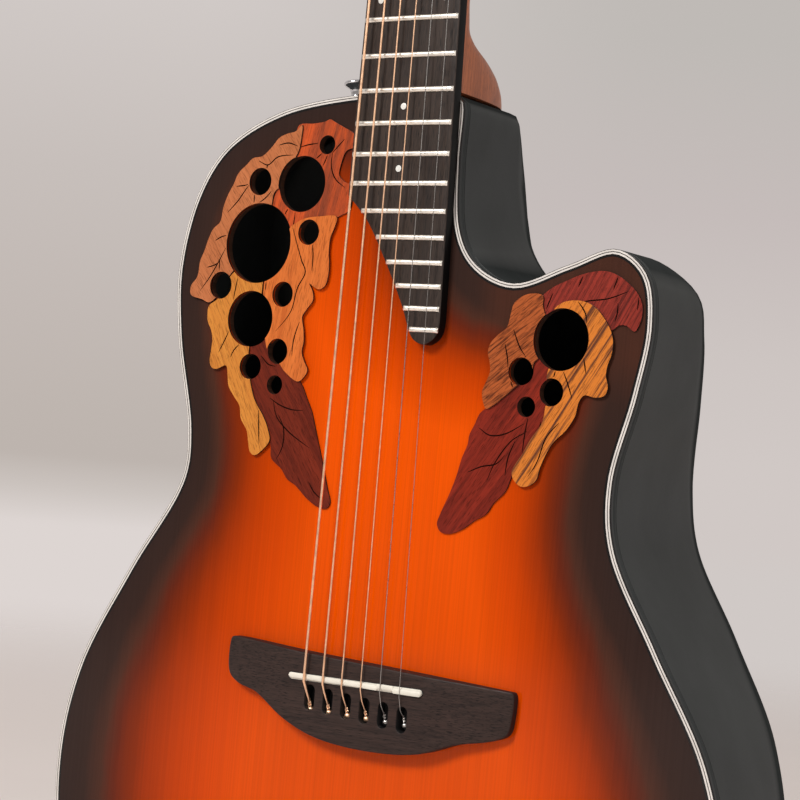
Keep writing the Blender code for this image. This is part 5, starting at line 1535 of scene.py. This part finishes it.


# The floor's colour near the guitar is painted shade; far out it is the floor's own pale tone.
FLOOR_SHADED_NEAR = srgb(230, 222, 218)
FLOOR_FAR = srgb(245, 236, 232)
BACKDROP = [  # sine of the height above the horizon, and the colour there to the left and to the right
    (-0.12, (221, 213, 210), (208, 201, 198)), (-0.053, (221, 213, 210), (208, 201, 198)),
    (-0.036, (203, 195, 190), (208, 200, 197)), (-0.02, (189, 180, 174), (208, 200, 197)),
    (0.0, (190, 181, 175), (208, 200, 197)), (0.05, (194, 185, 180), (205, 197, 194)),
    (0.12, (199, 191, 187), (197, 188, 186)), (0.2, (208, 201, 198), (191, 186, 182)),
    (0.5, (208, 201, 198), (191, 186, 182)),
]
RIGHT = (0.834, 0.552, 0.0)  # as seen by the camera
LEFT_TO_RIGHT = (-0.12, 0.12)  # the backdrop's two colours meet between these
ROOM_BEHIND = 0.55  # the room on the guitar's front side, as a share of the backdrop's light
ROOM_FADE = (0.1, -0.9)


def make_backdrop():
    """A pale surround that lights the guitar evenly."""
    world = bpy.data.worlds.new("studio")
    bpy.context.scene.world = world
    world.use_nodes = True
    room = Nodes(world.node_tree)
    direction = room.node("TexCoord").outputs["Generated"]
    split = room.node("SeparateXYZ", {0: direction}).outputs
    low, high = BACKDROP[0][0], BACKDROP[-1][0]
    height = room.spread(split["Z"], low, high, how="LINEAR")
    sides = []
    for side in (1, 2):
        stops = [((stop[0] - low) / (high - low), srgb(*stop[side])) for stop in BACKDROP]
        sides.append(room.ramp(height, stops))
    rightwards = room.node("VectorMath", {0: direction, 1: RIGHT}, operation="DOT_PRODUCT").outputs["Value"]
    colour = room.mix(room.spread(rightwards, *LEFT_TO_RIGHT), *sides)
    strength = room.spread(split["Y"], *ROOM_FADE, 1.0, ROOM_BEHIND)
    background = world.node_tree.nodes["Background"].inputs
    room.tree.links.new(colour, background["Color"])
    room.tree.links.new(strength, background["Strength"])


LIT = (0, 0, -0.55)  # the middle of the guitar, where the lights point
LIGHT_COLOUR = (1.0, 0.98, 0.96)


def add_light(name, at, size, watts):
    light = bpy.data.lights.new(name, "AREA")
    light.shape = "DISK"
    light.size = size
    light.energy = watts
    light.color = LIGHT_COLOUR
    obj = bpy.data.objects.new(name, light)
    obj.location = at
    obj.rotation_euler = (Vector(LIT) - Vector(at)).to_track_quat("-Z", "Y").to_euler()
    bpy.context.collection.objects.link(obj)


def make_camera():
    camera = bpy.data.cameras.new("camera")
    camera.lens = 92.815
    camera.sensor_width = 36.0
    camera.clip_start = 0.05
    obj = bpy.data.objects.new("camera", camera)
    obj.location = (0.558503, -0.829569, -0.524880)
    obj.rotation_euler = [math.radians(angle) for angle in (91.1221, -4.7023, 33.4921)]
    bpy.context.collection.objects.link(obj)
    bpy.context.scene.camera = obj
    bpy.context.scene.view_settings.view_transform = "Standard"


def main():
    for make in (make_soundboard, make_binding, make_bowl, make_leaves, make_neck, make_head_overlay,
                 make_fingerboard, make_frets, make_nut, make_bridge, make_saddle):
        make()
    for place in tuner_places():
        make_tuner(*place)
    make_strings()
    make_preamp()
    make_controls()
    make_strap_button("tail_button", "strap_button_tail", tail_frame(0, 26))
    make_strap_button("shoulder_button", "strap_button_shoulder", wall_frame(SHOULDER_AT, 22 * MM))
    make_jack()
    make_access_cover()
    finish_kept_nodes()
    make_floor()
    make_backdrop()
    add_light("key", (-0.7, -2.4, 1.3), 1.0, 78)
    add_light("fill", (2.2, -1.2, 0.6), 1.4, 12)
    make_camera()


main()
